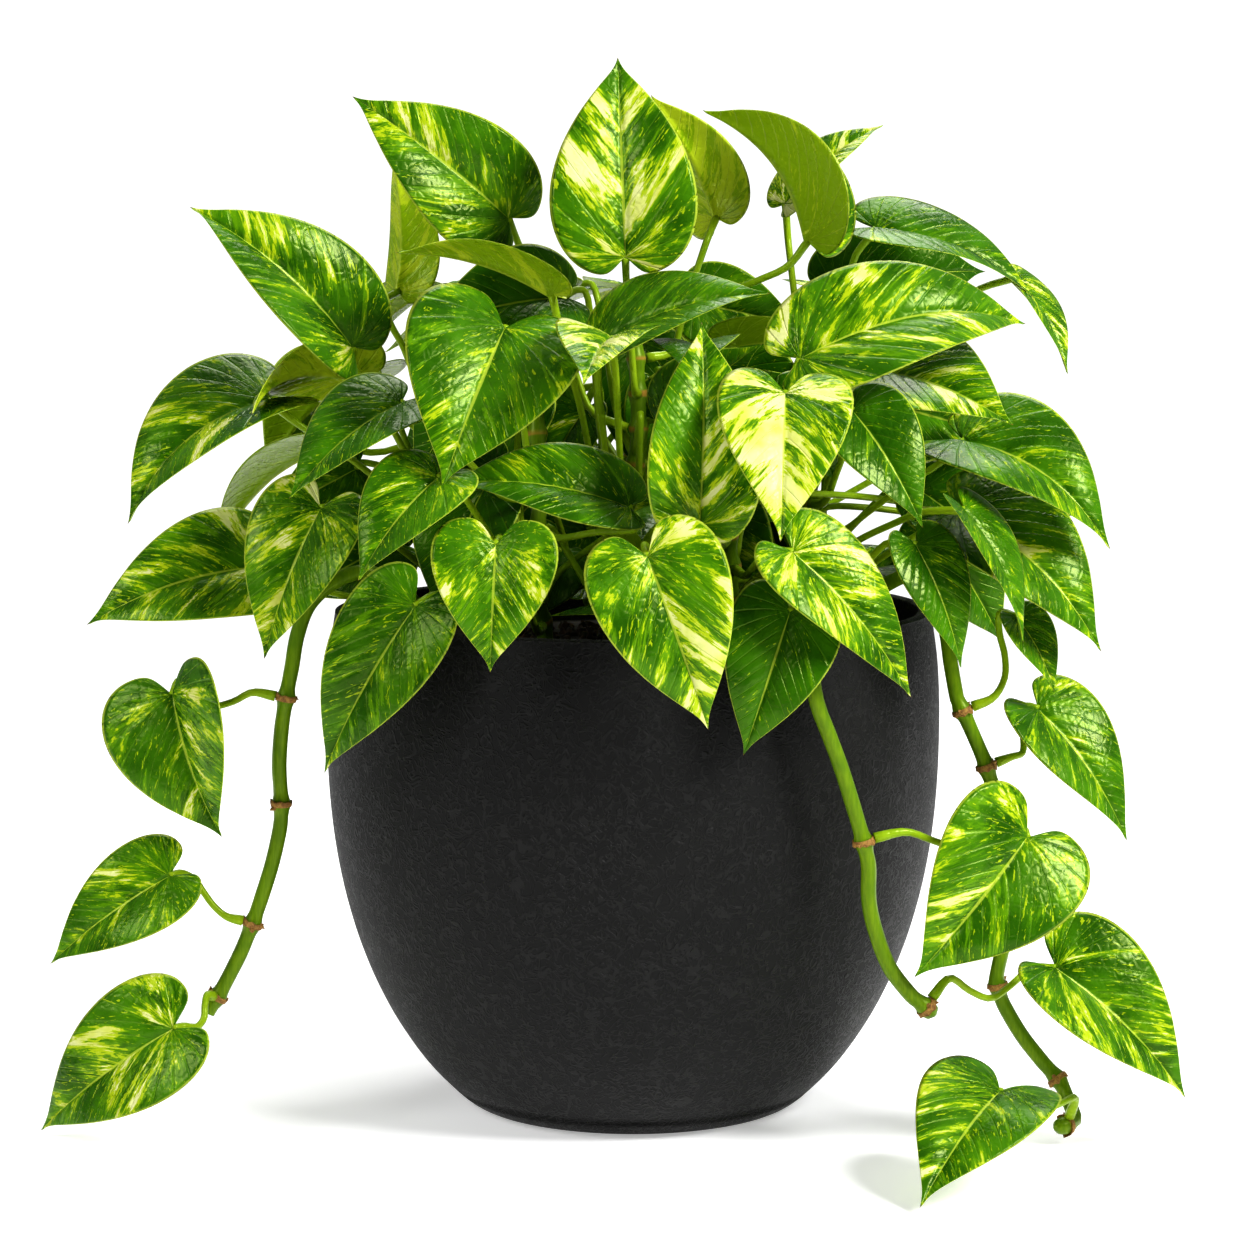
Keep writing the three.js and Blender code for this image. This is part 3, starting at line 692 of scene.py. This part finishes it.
def blade_faces(rows, cols):
    """Faces of a closed blade: its upper points, its lower points within the edges, a notch and a tip."""
    lower = rows * cols
    notch = lower + rows * (cols - 2)
    tip = notch + 1

    def up(i, j):
        return i * cols + j

    def low(i, j):
        return up(i, j) if j in (0, cols - 1) else lower + i * (cols - 2) + j - 1

    faces = []
    for j in range(cols - 1):
        for i in range(rows - 1):
            faces.append((up(i, j), up(i, j + 1), up(i + 1, j + 1), up(i + 1, j)))
            faces.append((low(i, j), low(i + 1, j), low(i + 1, j + 1), low(i, j + 1)))
        faces.append((notch, up(0, j + 1), up(0, j)))
        faces.append((notch, low(0, j), low(0, j + 1)))
        faces.append((tip, up(rows - 1, j), up(rows - 1, j + 1)))
        faces.append((tip, low(rows - 1, j + 1), low(rows - 1, j)))
    return faces


def stalk_skin(heart, rings, around):
    """Points and faces of a stalk that flares at its foot and thickens a little at the blade."""
    u = np.linspace(0, 1, rings)
    foot = np.exp(-((u * rings / 3) ** 2))
    plain, foot_gain, blade_gain = STALK_RADIUS
    radii = MM * (plain + foot_gain * foot + blade_gain * u ** 6)
    return capped_tube(spline(heart.stalk, u), radii, around)


def skin_leaf(heart, leaf, seed, cream, rough=False):
    """Points, faces and the three attributes of a leaf: a closed blade and a closed stalk.

    A rough skin is enough to test for room.
    """
    rows, columns, rings, around = ROUGH_GRID if rough else (leaf.rows, leaf.columns, *STALK_GRID)
    t = np.linspace(0, 1, rows + 2)[1:-1] ** 1.15
    w = np.linspace(-1, 1, 2 * columns + 1)
    out = np.abs(w)[None, :]
    midrib, right, left = (spline(v, t)[:, None] for v in (heart.midrib, heart.right, heart.left))
    half = np.where((w > 0)[None, :, None], right - midrib, left - midrib)
    half = half * (1 - leaf.drip_tip * t ** 8)[:, None, None]
    wide = np.linalg.norm(right - left, axis=2)
    grid = midrib + half * out[..., None]
    normal = np.cross(np.gradient(grid, axis=1), np.gradient(grid, axis=0))
    normal /= np.linalg.norm(normal, axis=2)[..., None] + 1e-12
    ahead = (heart.midrib[-1] - heart.midrib[0]) / heart.length
    along = (grid - heart.midrib[0]) @ ahead / heart.length
    aside = np.linalg.norm(half - (half @ ahead)[..., None] * ahead, axis=2) * out / heart.length
    vein, reach = vein_lines(along, aside)
    grid = grid + normal * relief(leaf, heart, random.Random(seed), t, w, wide, vein)[..., None]
    thick = leaf.thickness * (0.35 + 0.65 * (1 - out ** 6)) * (1 - 0.5 * t[:, None])
    rib = RIB_DEPTH * np.exp(-((out * wide / RIB_WIDTH) ** 2)) * (1 - 0.85 * t[:, None])
    top = grid + normal * (thick / 2)[..., None]
    bottom = (grid - normal * (thick / 2 + rib)[..., None])[:, 1:-1]

    points = [*top.reshape(-1, 3), *bottom.reshape(-1, 3), heart.midrib[0], heart.midrib[-1]]
    faces = blade_faces(rows, len(w))
    veins = np.stack(np.broadcast_arrays(vein, w[None, :], t[:, None]), axis=2)
    veins = [*veins.reshape(-1, 3), *veins[:, 1:-1].reshape(-1, 3), (0, 0, 0.001), (1, 0, 1)]
    reach = [*reach.ravel(), *reach[:, 1:-1].ravel(), 0, 0]
    under = [0.0] * top[..., 0].size + [1.0] * bottom[..., 0].size + [0.5, 0.5]

    tube, tube_faces = stalk_skin(heart, rings, around)
    faces += [tuple(len(points) + k for k in face) for face in tube_faces]
    points += list(tube)
    veins += [(0, 0, -1)] * len(tube)
    reach += [0] * len(tube)
    under += [0.0] * len(tube)
    whole = [(seed % 97 / 97, cream, low) for low in under]
    return points, faces, veins, whole, reach


def leaf_piece(heart, name, leaf, seed, cream, material):
    """A finished leaf with its attributes: vein, across and along; seed, cream and underside; reach. Cream
    below zero darkens the blade, as painted shade on the inner leaves.
    """
    points, faces, veins, whole, reach = skin_leaf(heart, leaf, seed, cream)
    piece = mesh_piece(name, points, faces, material)
    set_numbers(piece.data, "reach", reach)
    set_vectors(piece.data, "veins", veins)
    set_vectors(piece.data, "leaf", whole)
    return piece


def heart_at(name, stalk, base, tip, face, width, lobe, fold, arch):
    """A leaf made from where its blade starts and ends, which way it looks, and its proportions."""
    base, tip = np.array(base), np.array(tip)
    length = np.linalg.norm(tip - base)
    ahead = (tip - base) / length
    up = np.array(face) - np.dot(face, ahead) * ahead
    up /= np.linalg.norm(up)
    right = np.cross(ahead, up)

    def on_midrib(share):
        held = np.clip(share, 0, 1)
        slope = 4 * arch * (1 - 2 * held)
        rise = 4 * arch * length * held * (1 - held) + slope * length * (share - held)
        return base + ahead * length * share + up * rise

    t = np.linspace(0, 1, 11)
    along = t * t * (3 - 2 * t) - lobe * np.sin(math.pi * t ** 0.7)
    out = 0.5 * width * length * np.sin(math.pi * t ** 0.88).clip(0) ** 1.4 * (1 - 0.5 * t ** 6)
    midrib = [on_midrib(v) for v in t ** 1.5]
    edges = []
    for hand in (1, -1):
        spread = right * hand * math.cos(fold) + up * math.sin(fold)
        edges.append([on_midrib(a) + spread * o for a, o in zip(along, out)])
    return Heart(name, stalk, midrib, edges[0], edges[1])


class Tier:
    """Where inner leaves of one kind start: how far out, how high over the soil, how long and how steep."""

    def __init__(self, share, reach, high, length, droop, side="any"):
        self.share, self.reach, self.high, self.length = share, reach, high, length
        self.droop, self.side = droop, side


# A "rear" leaf stands only behind the axis, and a "screen" leaf faces the front.
TIERS = (
    Tier(3, (0.015, 0.09), (0.012, 0.07), (0.042, 0.058), (-25, 35)),
    Tier(3, (0.03, 0.1), (0.06, 0.15), (0.05, 0.07), (0, 50)),
    Tier(2, (0.07, 0.115), (0.03, 0.14), (0.055, 0.075), (20, 65), "rear"),
    Tier(9, (0.0, 0.1), (0.02, 0.14), (0.045, 0.07), (-20, 100), "screen"),
    Tier(5, (0.0, 0.06), (0.01, 0.12), (0.04, 0.06), (0, 110), "screen"),
    Tier(5, (0.085, 0.125), (0.01, 0.07), (0.04, 0.06), (0, 110), "screen"),
)


FRONT = -0.1  # inner leaves stay behind this, where the front leaves hang
MARGIN = 4 * MM  # from an inner leaf's blade to the sides of the plant's box
ROOM = 2.5 * MM  # from an inner leaf's blade to all that stands
HALO = 2 * MM  # how far the box that is searched round a piece reaches past it
STALK_START = 1.8  # in mm, from a stem's axis to the start of an inner leaf's stalk


def inner_leaf(rng, name, stems, soil_top):
    """A leaf at random in the crown, and the stem that it grows from."""
    tier = rng.choices(TIERS, [t.share for t in TIERS])[0]
    turn = rng.uniform(0, math.pi) if tier.side == "rear" else rng.uniform(0, 2 * math.pi)
    reach = rng.uniform(*tier.reach)
    droop = math.radians(rng.uniform(*tier.droop))
    base = np.array((math.cos(turn) * reach, math.sin(turn) * reach, soil_top + rng.uniform(*tier.high)))
    swing = turn + rng.uniform(-0.8, 0.8)
    out = np.array((math.cos(swing), math.sin(swing), 0))
    ahead = out * math.cos(droop) - np.array((0, 0, math.sin(droop)))
    roll = np.cross(out, (0, 0, 1)) * rng.uniform(-0.4, 0.4)
    face = out * math.sin(droop) + np.array((0, 0, math.cos(droop))) + roll
    if tier.side == "screen":
        face = np.array((rng.uniform(-0.6, 0.6), -1, rng.uniform(0, 0.6)))
        ahead = out * (1, 0.3, 0) * 0.7 - np.array((0, 0, math.sin(droop)))
        ahead /= np.linalg.norm(ahead)
    tip = base + rng.uniform(*tier.length) * ahead
    stem = min(stems, key=lambda s: np.linalg.norm(stems[s][0][:2] - base[:2]) * rng.uniform(0.6, 1.6))
    line = stems[stem]
    start = line[rng.randrange(0, max(2, len(line) * 2 // 3))]
    lean = (base - start) * (1, 1, 0)
    lead = 0.25 * np.linalg.norm(base - start)
    flat = lean / (np.linalg.norm(lean) + 1e-9)
    begin = start + flat * STALK_START * MM
    last = base - ahead * lead * 0.5 - face / np.linalg.norm(face) * lead * 0.3
    stalk = spline([begin, begin + flat * lead * 0.6 + (0, 0, lead), last, base], np.linspace(0, 1, 7))
    return stem, heart_at(name, stalk, base, tip, face, rng.uniform(0.68, 0.9), rng.uniform(0.24, 0.32),
                          math.radians(rng.uniform(8, 20)), rng.uniform(0.04, 0.14))


def is_free(heart, standing, low, high):
    """Whether a leaf's blade lies in the crown behind the front leaves and has room all round."""
    blade = np.array([*heart.midrib[[2, 5, 8]], *heart.right[[3, 5]], *heart.left[[3, 5]]])
    if (blade < low + MARGIN).any() or (blade > high - MARGIN).any() or blade[:, 1].min() < FRONT:
        return False
    least, most = blade.min(axis=0), blade.max(axis=0)
    for first, last, tree in standing.values():
        if (first < most).all() and (last > least).all():
            if any(tree.find_nearest(place)[3] < ROOM for place in blade):
                return False
    return True


def tree_of(points, faces):
    return BVHTree.FromPolygons([tuple(p) for p in points], faces)


# ---------- operators ----------


FLOOR_SIDES = 96
FLOOR_GAP = 0.4 * MM  # how far the floor lies under the foot
LIT_POINT = Vector((0, 0, 0.2))  # where every lamp points
LAMPS = (  # name, place, width and power
    ("key", (1.2, -0.9, 1.35), 0.7, 45),
    ("fill", (-1.3, -1.0, 1.2), 0.8, 13),
    ("rim", (0.1, 1.0, 1.7), 1.2, 16),
)


class POTHOS_OT_stage(bpy.types.Operator):
    """Sets the camera, a plain pale floor and soft studio light"""

    bl_idname = "pothos.stage"
    bl_label = "Stage"

    def execute(self, context):
        stage = context.scene.pothos_stage
        data = bpy.data.cameras.new("camera")
        data.angle = stage.view
        data.clip_start = 0.05
        camera = placed("camera", data)
        camera.location = (stage.aside, -stage.distance, stage.height)
        aim = Vector((stage.aside, 0, stage.aim)) - camera.location
        camera.rotation_euler = aim.to_track_quat("-Z", "Y").to_euler()
        context.scene.camera = camera

        paper = Finish("studio_floor")
        paper.surface(Base_Color=(0.93, 0.93, 0.93), Roughness=0.9, Specular_IOR_Level=0.1,
                      Emission_Color=(1, 1, 1), Emission_Strength=0.34)
        turns = [2 * math.pi * i / FLOOR_SIDES for i in range(FLOOR_SIDES)]
        rim = [(stage.floor * math.cos(turn), stage.floor * math.sin(turn), -FLOOR_GAP) for turn in turns]
        mesh_piece("floor", rim, [tuple(range(FLOOR_SIDES))], paper.material)

        self.sky(context)
        for lamp in LAMPS:
            self.lamp(*lamp)
        context.scene.view_settings.view_transform = "Standard"
        context.scene.view_settings.look = "Medium High Contrast"
        return {"FINISHED"}

    def sky(self, context):
        """White where it is seen; as a light, bright above and behind and dimmer in front."""
        world = bpy.data.worlds.new("studio")
        context.scene.world = world
        world.use_nodes = True
        nodes, links = world.node_tree.nodes, world.node_tree.links
        seen, lit = nodes["Background"], nodes.new("ShaderNodeBackground")
        seen.inputs["Color"].default_value = (1, 1, 1, 1)
        way = nodes.new("ShaderNodeTexCoord")
        parts = nodes.new("ShaderNodeSeparateXYZ")
        level = nodes.new("ShaderNodeMapRange")
        level.interpolation_type = "SMOOTHSTEP"
        links.new(way.outputs["Generated"], parts.inputs[0])
        links.new(parts.outputs["Y"], level.inputs["Value"])
        for socket, value in (("From Min", -0.9), ("From Max", 0.6), ("To Min", 0.06), ("To Max", 0.34)):
            level.inputs[socket].default_value = value
        links.new(level.outputs[0], lit.inputs["Strength"])
        path = nodes.new("ShaderNodeLightPath")
        mixed = nodes.new("ShaderNodeMixShader")
        links.new(path.outputs["Is Camera Ray"], mixed.inputs[0])
        links.new(lit.outputs[0], mixed.inputs[1])
        links.new(seen.outputs[0], mixed.inputs[2])
        links.new(mixed.outputs[0], nodes["World Output"].inputs["Surface"])

    def lamp(self, name, place, size, power):
        data = bpy.data.lights.new(name, "AREA")
        data.shape = "DISK"
        data.size = size
        data.energy = power
        lamp = placed(name, data)
        lamp.location = place
        lamp.rotation_euler = (LIT_POINT - lamp.location).to_track_quat("-Z", "Y").to_euler()


def half_section(node):
    """A lathed node's outline in the half plane of +X, from its first point on the axis to its last."""
    shape = welded(node)
    near = {v for v in shape.verts if abs(v.co.y) < NEAR and v.co.x > -NEAR}
    path = [min(near, key=lambda v: (v.co.x > NEAR, v.co.z))]
    while True:
        ahead = [e.other_vert(path[-1]) for e in path[-1].link_edges]
        ahead = [v for v in ahead if v in near and v not in path]
        if not ahead:
            break
        path.append(ahead[0])
    outline = [(v.co.x, v.co.z) for v in path]
    shape.free()
    return outline


def turned(outline, sides, name, material):
    """A closed piece turned from an outline that starts and ends on the axis."""
    points = [(0, 0, outline[0][1])]
    for radius, z in outline[1:-1]:
        for i in range(sides):
            turn = 2 * math.pi * i / sides
            points.append((radius * math.cos(turn), radius * math.sin(turn), z))
    points.append((0, 0, outline[-1][1]))
    last = len(points) - 1
    at = lambda ring, i: 1 + ring * sides + i % sides
    faces = []
    rings = len(outline) - 2
    for i in range(sides):
        faces.append((0, at(0, i + 1), at(0, i)))
        faces.append((last, at(rings - 1, i), at(rings - 1, i + 1)))
        for ring in range(rings - 1):
            faces.append((at(ring, i), at(ring, i + 1), at(ring + 1, i + 1), at(ring + 1, i)))
    return mesh_piece(name, points, faces, material)


class POTHOS_OT_bowl(bpy.types.Operator):
    """Turns the round bowl with its thin lip and rounded foot"""

    bl_idname = "pothos.bowl"
    bl_label = "Bowl"

    def execute(self, context):
        bowl = context.scene.pothos_bowl
        outline = half_section("pot")
        wall = np.array(outline[1:-1])
        fine = spline(wall, np.linspace(0, 1, 5 * len(wall)))
        foot = wall[0]
        inset = bowl.foot_round
        rise = next(p for p in fine if np.linalg.norm(p - foot) > inset)
        curve = [(1 - s) ** 2 * (foot - (inset, 0)) + 2 * s * (1 - s) * foot + s * s * rise
                 for s in np.linspace(0, 1, 7)]
        rest = [p for p in fine if np.linalg.norm(p - foot) > inset * 1.01]
        whole = [outline[0], *map(tuple, curve), *map(tuple, rest), outline[-1]]
        piece = turned(whole, bowl.sides, "bowl_planter", bowl_finish(bowl))
        stand_for(piece, "pot", "pot")
        return {"FINISHED"}


class POTHOS_OT_soil(bpy.types.Operator):
    """Fills the bowl with crumbly potting mix and strews bark crumbs over it"""

    bl_idname = "pothos.soil"
    bl_label = "Soil"

    def execute(self, context):
        bowl = context.scene.pothos_bowl
        outline = half_section("potting_soil")
        edge = max(i for i, p in enumerate(outline) if p[0] > outline[-2][0] * 1.2)
        body = outline[: edge + 1]
        top = np.array(outline[edge:])
        domed = spline(top, np.linspace(0, 1, 34))
        piece = turned([*body, *map(tuple, domed[1:-1]), outline[-1]], 120, "potting_mix", soil_finish(bowl))
        rim = outline[edge][1]
        for vertex in piece.data.vertices:
            if vertex.co.z > rim - NEAR:
                height = noise.fractal(vertex.co * 90, 1.0, 2.0, 4) * bowl.lumps
                vertex.co.z += height - 1.2 * MM
        stand_for(piece, "soil", "potting_soil")

        reach = outline[edge][0] - 4 * MM
        ground = turned([(0, rim), *[(r, soil_height(top, r)) for r in np.linspace(0.02, 0.97, 12) * reach],
                         (0, rim + 0.001)], 60, "ground", None)
        shape = bmesh.new()
        shape.from_mesh(ground.data)
        closing = [f for f in shape.faces if any(v.index == len(shape.verts) - 1 for v in f.verts)]
        bmesh.ops.delete(shape, geom=closing, context="FACES")
        shape.to_mesh(ground.data)
        shape.free()
        crumb = crumb_part(bowl.crumb)
        crumbs = crumb_growth(ground, crumb, "bark_crumbs", bowl.crumbs, crumb_finish(bowl))
        bpy.data.objects.remove(crumb)
        stand_for(crumbs, "soil")
        return {"FINISHED"}


def soil_height(top, radius):
    return float(np.interp(radius, [p[0] for p in top[::-1]], [p[1] for p in top[::-1]])) - 0.4 * MM


def crumb_part(size):
    """One irregular bark crumb of a few dozen faces."""
    shape = bmesh.new()
    bmesh.ops.create_icosphere(shape, subdivisions=1, radius=size)
    rng = random.Random(8)
    for vertex in shape.verts:
        vertex.co *= rng.uniform(0.65, 1.15)
        vertex.co.z *= 0.5
        vertex.co.y *= 0.75
    mesh = bpy.data.meshes.new("crumb")
    shape.to_mesh(mesh)
    shape.free()
    return placed("crumb", mesh)


def sheath_part():
    """A torn papery collar round a leaf node, of unit radius, along +Z."""
    rng = random.Random(3)
    around = 16
    points, faces = [], []
    ragged = [rng.uniform(0.15, 1.0) for _ in range(around)]
    for radius in (1.0, 1.08):
        for level in range(3):
            for i in range(around):
                turn = 2 * math.pi * i / around
                height = (-0.3, 0.0, 0.12 + 0.45 * ragged[i] ** 2)[level]
                flare = radius + (0, 0.06, 0.22 * ragged[i])[level]
                points.append((flare * math.cos(turn), flare * math.sin(turn), height))
    at = lambda wall, level, i: (wall * 3 + level) * around + i % around
    for i in range(around):
        for level in range(2):
            faces.append((at(1, level, i), at(1, level, i + 1), at(1, level + 1, i + 1), at(1, level + 1, i)))
            faces.append((at(0, level, i), at(0, level + 1, i), at(0, level + 1, i + 1), at(0, level, i + 1)))
        faces.append((at(1, 2, i), at(1, 2, i + 1), at(0, 2, i + 1), at(0, 2, i)))
        faces.append((at(0, 0, i), at(0, 0, i + 1), at(1, 0, i + 1), at(1, 0, i)))
    return mesh_piece("sheath", points, faces)


def nub_part():
    """A short pointed root bud, of unit length, along +Z."""
    levels = [(0.0, 0.34), (0.25, 0.36), (0.6, 0.22), (0.9, 0.06)]
    outline = [(0, 0), *[(r, z) for z, r in levels], (0, 1)]
    return turned(outline, 7, "nub", None)


def point_cloud(name, places, axes, sizes):
    mesh = bpy.data.meshes.new(name)
    mesh.from_pydata([tuple(p) for p in places], [], [])
    set_vectors(mesh, "axis", axes)
    set_numbers(mesh, "size", sizes)
    return placed(name, mesh)


class POTHOS_OT_stems(bpy.types.Operator):
    """Grows every stem with its papery leaf nodes and root buds"""

    bl_idname = "pothos.stems"
    bl_label = "Stems"

    def execute(self, context):
        stem = context.scene.pothos_stem
        green, bark = stem_finish(stem), bark_finish(stem)
        rng = random.Random(21)
        collars, buds = [], []
        for node in STEM_NODES:
            line, centres, radii, knots = lined_piece(node)
            piece = stem_growth(line, node + "_grown", stem, green)
            stand_for(piece, "stem", node)
            for i in knots if node.startswith("vine") else ():
                axis = centres[i + 1] - centres[i - 1]
                axis /= np.linalg.norm(axis)
                collars.append((centres[i], axis, radii[i] * 0.98))
                for _ in range(2):
                    side = np.cross(axis, [rng.uniform(-1, 1) for _ in range(3)])
                    side /= np.linalg.norm(side)
                    shift = axis * rng.uniform(-1.5, 1.0) * MM
                    buds.append((centres[i] + shift + side * radii[i] * 0.7, side - 0.3 * axis,
                                 rng.uniform(2.2, 3.4) * MM))
        for name, part, many in (("node_sheaths", sheath_part(), collars), ("root_buds", nub_part(), buds)):
            cloud = point_cloud(name + "_points", *zip(*many))
            piece = scatter_growth(cloud, part, name, bark)
            bpy.data.objects.remove(part)
            stand_for(piece, "stem")
        return {"FINISHED"}


# How much cream the leaves have, where it isn't left to chance. Below zero a blade is darkened towards deep
# green.
CREAMY = {
    "leaf_top_centre": 0.62, "leaf_cream_heart": 1.0, "leaf_right_shoulder": 0.55, "leaf_front_heart": 0.55,
    "leaf_centre_upright": 0.6, "leaf_top_left": 0.3, "leaf_left_wing": 0.3, "leaf_big_heart": 0.22,
    "leaf_front_dark_heart": -0.6, "leaf_right_middle_dark": -0.5, "leaf_right_dark": -0.4,
    "leaf_right_back": 0.0, "leaf_vine_left_last": 0.45, "leaf_vine_right_low": 0.4,
    "leaf_front_left_heart": 0.4, "leaf_star": 0.7, "leaf_top_pale": 1.3, "leaf_right_hanging": 0.6,
    "leaf_left_upright": 0.8, "leaf_centre_lying": 0.0, "leaf_top_right_small": 0.9, "leaf_left_pale": 1.0,
    "leaf_right_middle_broad": 0.5,
}


class POTHOS_OT_leaves(bpy.types.Operator):
    """Skins every leaf of the model with its own marbling"""

    bl_idname = "pothos.leaves"
    bl_label = "Leaves"

    def execute(self, context):
        leaf = context.scene.pothos_leaf
        material = leaf_finish(leaf)
        for place, node in enumerate(LEAF_NODES):
            rng = random.Random(100 + place)
            cream = CREAMY.get(node, rng.uniform(-0.1, 0.45))
            piece = leaf_piece(Heart.read(node), node + "_grown", leaf, 11 + 13 * place, cream, material)
            stand_for(piece, "leaf", node)
        return {"FINISHED"}


class POTHOS_OT_inner_leaves(bpy.types.Operator):
    """Fills the crown's inside and rear with leaves that touch nothing"""

    bl_idname = "pothos.inner_leaves"
    bl_label = "Inner leaves"

    def execute(self, context):
        leaf = context.scene.pothos_leaf
        material = bpy.data.materials["variegated_leaf"]
        stems = {}
        standing = {}
        for node in (*STEM_NODES, *LEAF_NODES, "pot", "potting_soil"):
            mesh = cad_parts[node].data
            places = [tuple(v.co) for v in mesh.vertices]
            tree = tree_of(places, [tuple(p.vertices) for p in mesh.polygons])
            standing[node] = (np.min(places, axis=0) - HALO, np.max(places, axis=0) + HALO, tree)
            if node.startswith("crown_stem"):
                stems[node] = np.array([r.mean(axis=0) for r in rings_of(node)[0]])
        low, high = (np.array(corner) for corner in CAD_BOX)
        soil_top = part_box("potting_soil")[1][2]
        rng = random.Random(1907)
        grown = 0
        for attempt in range(leaf.tries):
            if grown == leaf.spares:
                break
            stem, heart = inner_leaf(rng, f"inner_leaf_{grown + 1}", stems, soil_top)
            if not is_free(heart, standing, low, high):
                continue
            points, faces, *_ = skin_leaf(heart, leaf, attempt, 0, rough=True)
            points = np.array(points)
            if (points < low + HALO).any() or (points > high - HALO).any():
                continue
            tree = tree_of(points, faces)
            least, most = points.min(axis=0), points.max(axis=0)
            close = [t for name, (a, b, t) in standing.items()
                     if name != stem and (a < most).all() and (b > least).all()]
            if any(tree.overlap(other) for other in close):
                continue
            standing[heart.name] = (least - HALO, most + HALO, tree)
            grown += 1
            # Inner leaves mostly get less than no cream, which darkens them towards deep green: painted shade
            # of the crown's inside.
            cream = rng.uniform(-1.0, 0.1)
            piece = leaf_piece(heart, heart.name, leaf, 7000 + 17 * grown, cream, material)
            stand_for(piece, "leaf")
        return {"FINISHED"}


class POTHOS_PT_panel(bpy.types.Panel):
    """Lists the plant's pieces in the sidebar"""

    bl_idname = "POTHOS_PT_panel"
    bl_label = "Pothos"
    bl_space_type = "VIEW_3D"
    bl_region_type = "UI"
    bl_category = "Pothos"

    def draw(self, context):
        for operator in OPERATORS:
            self.layout.operator(operator.bl_idname)


GROUPS = {
    "pothos_leaf": PothosLeafSettings,
    "pothos_stem": PothosStemSettings,
    "pothos_bowl": PothosBowlSettings,
    "pothos_stage": PothosStageSettings,
}
OPERATORS = (
    POTHOS_OT_stage,
    POTHOS_OT_bowl,
    POTHOS_OT_soil,
    POTHOS_OT_stems,
    POTHOS_OT_leaves,
    POTHOS_OT_inner_leaves,
)
CLASSES = (*GROUPS.values(), *OPERATORS, POTHOS_PT_panel)


def register():
    for each in CLASSES:
        bpy.utils.register_class(each)
    for name, group in GROUPS.items():
        setattr(bpy.types.Scene, name, bpy.props.PointerProperty(type=group))


def unregister():
    for name in GROUPS:
        delattr(bpy.types.Scene, name)
    for each in reversed(CLASSES):
        bpy.utils.unregister_class(each)


def main():
    register()
    bpy.ops.pothos.stage()
    bpy.ops.pothos.bowl()
    bpy.ops.pothos.soil()
    bpy.ops.pothos.stems()
    bpy.ops.pothos.leaves()
    bpy.ops.pothos.inner_leaves()


if __name__ == "__main__":
    main()
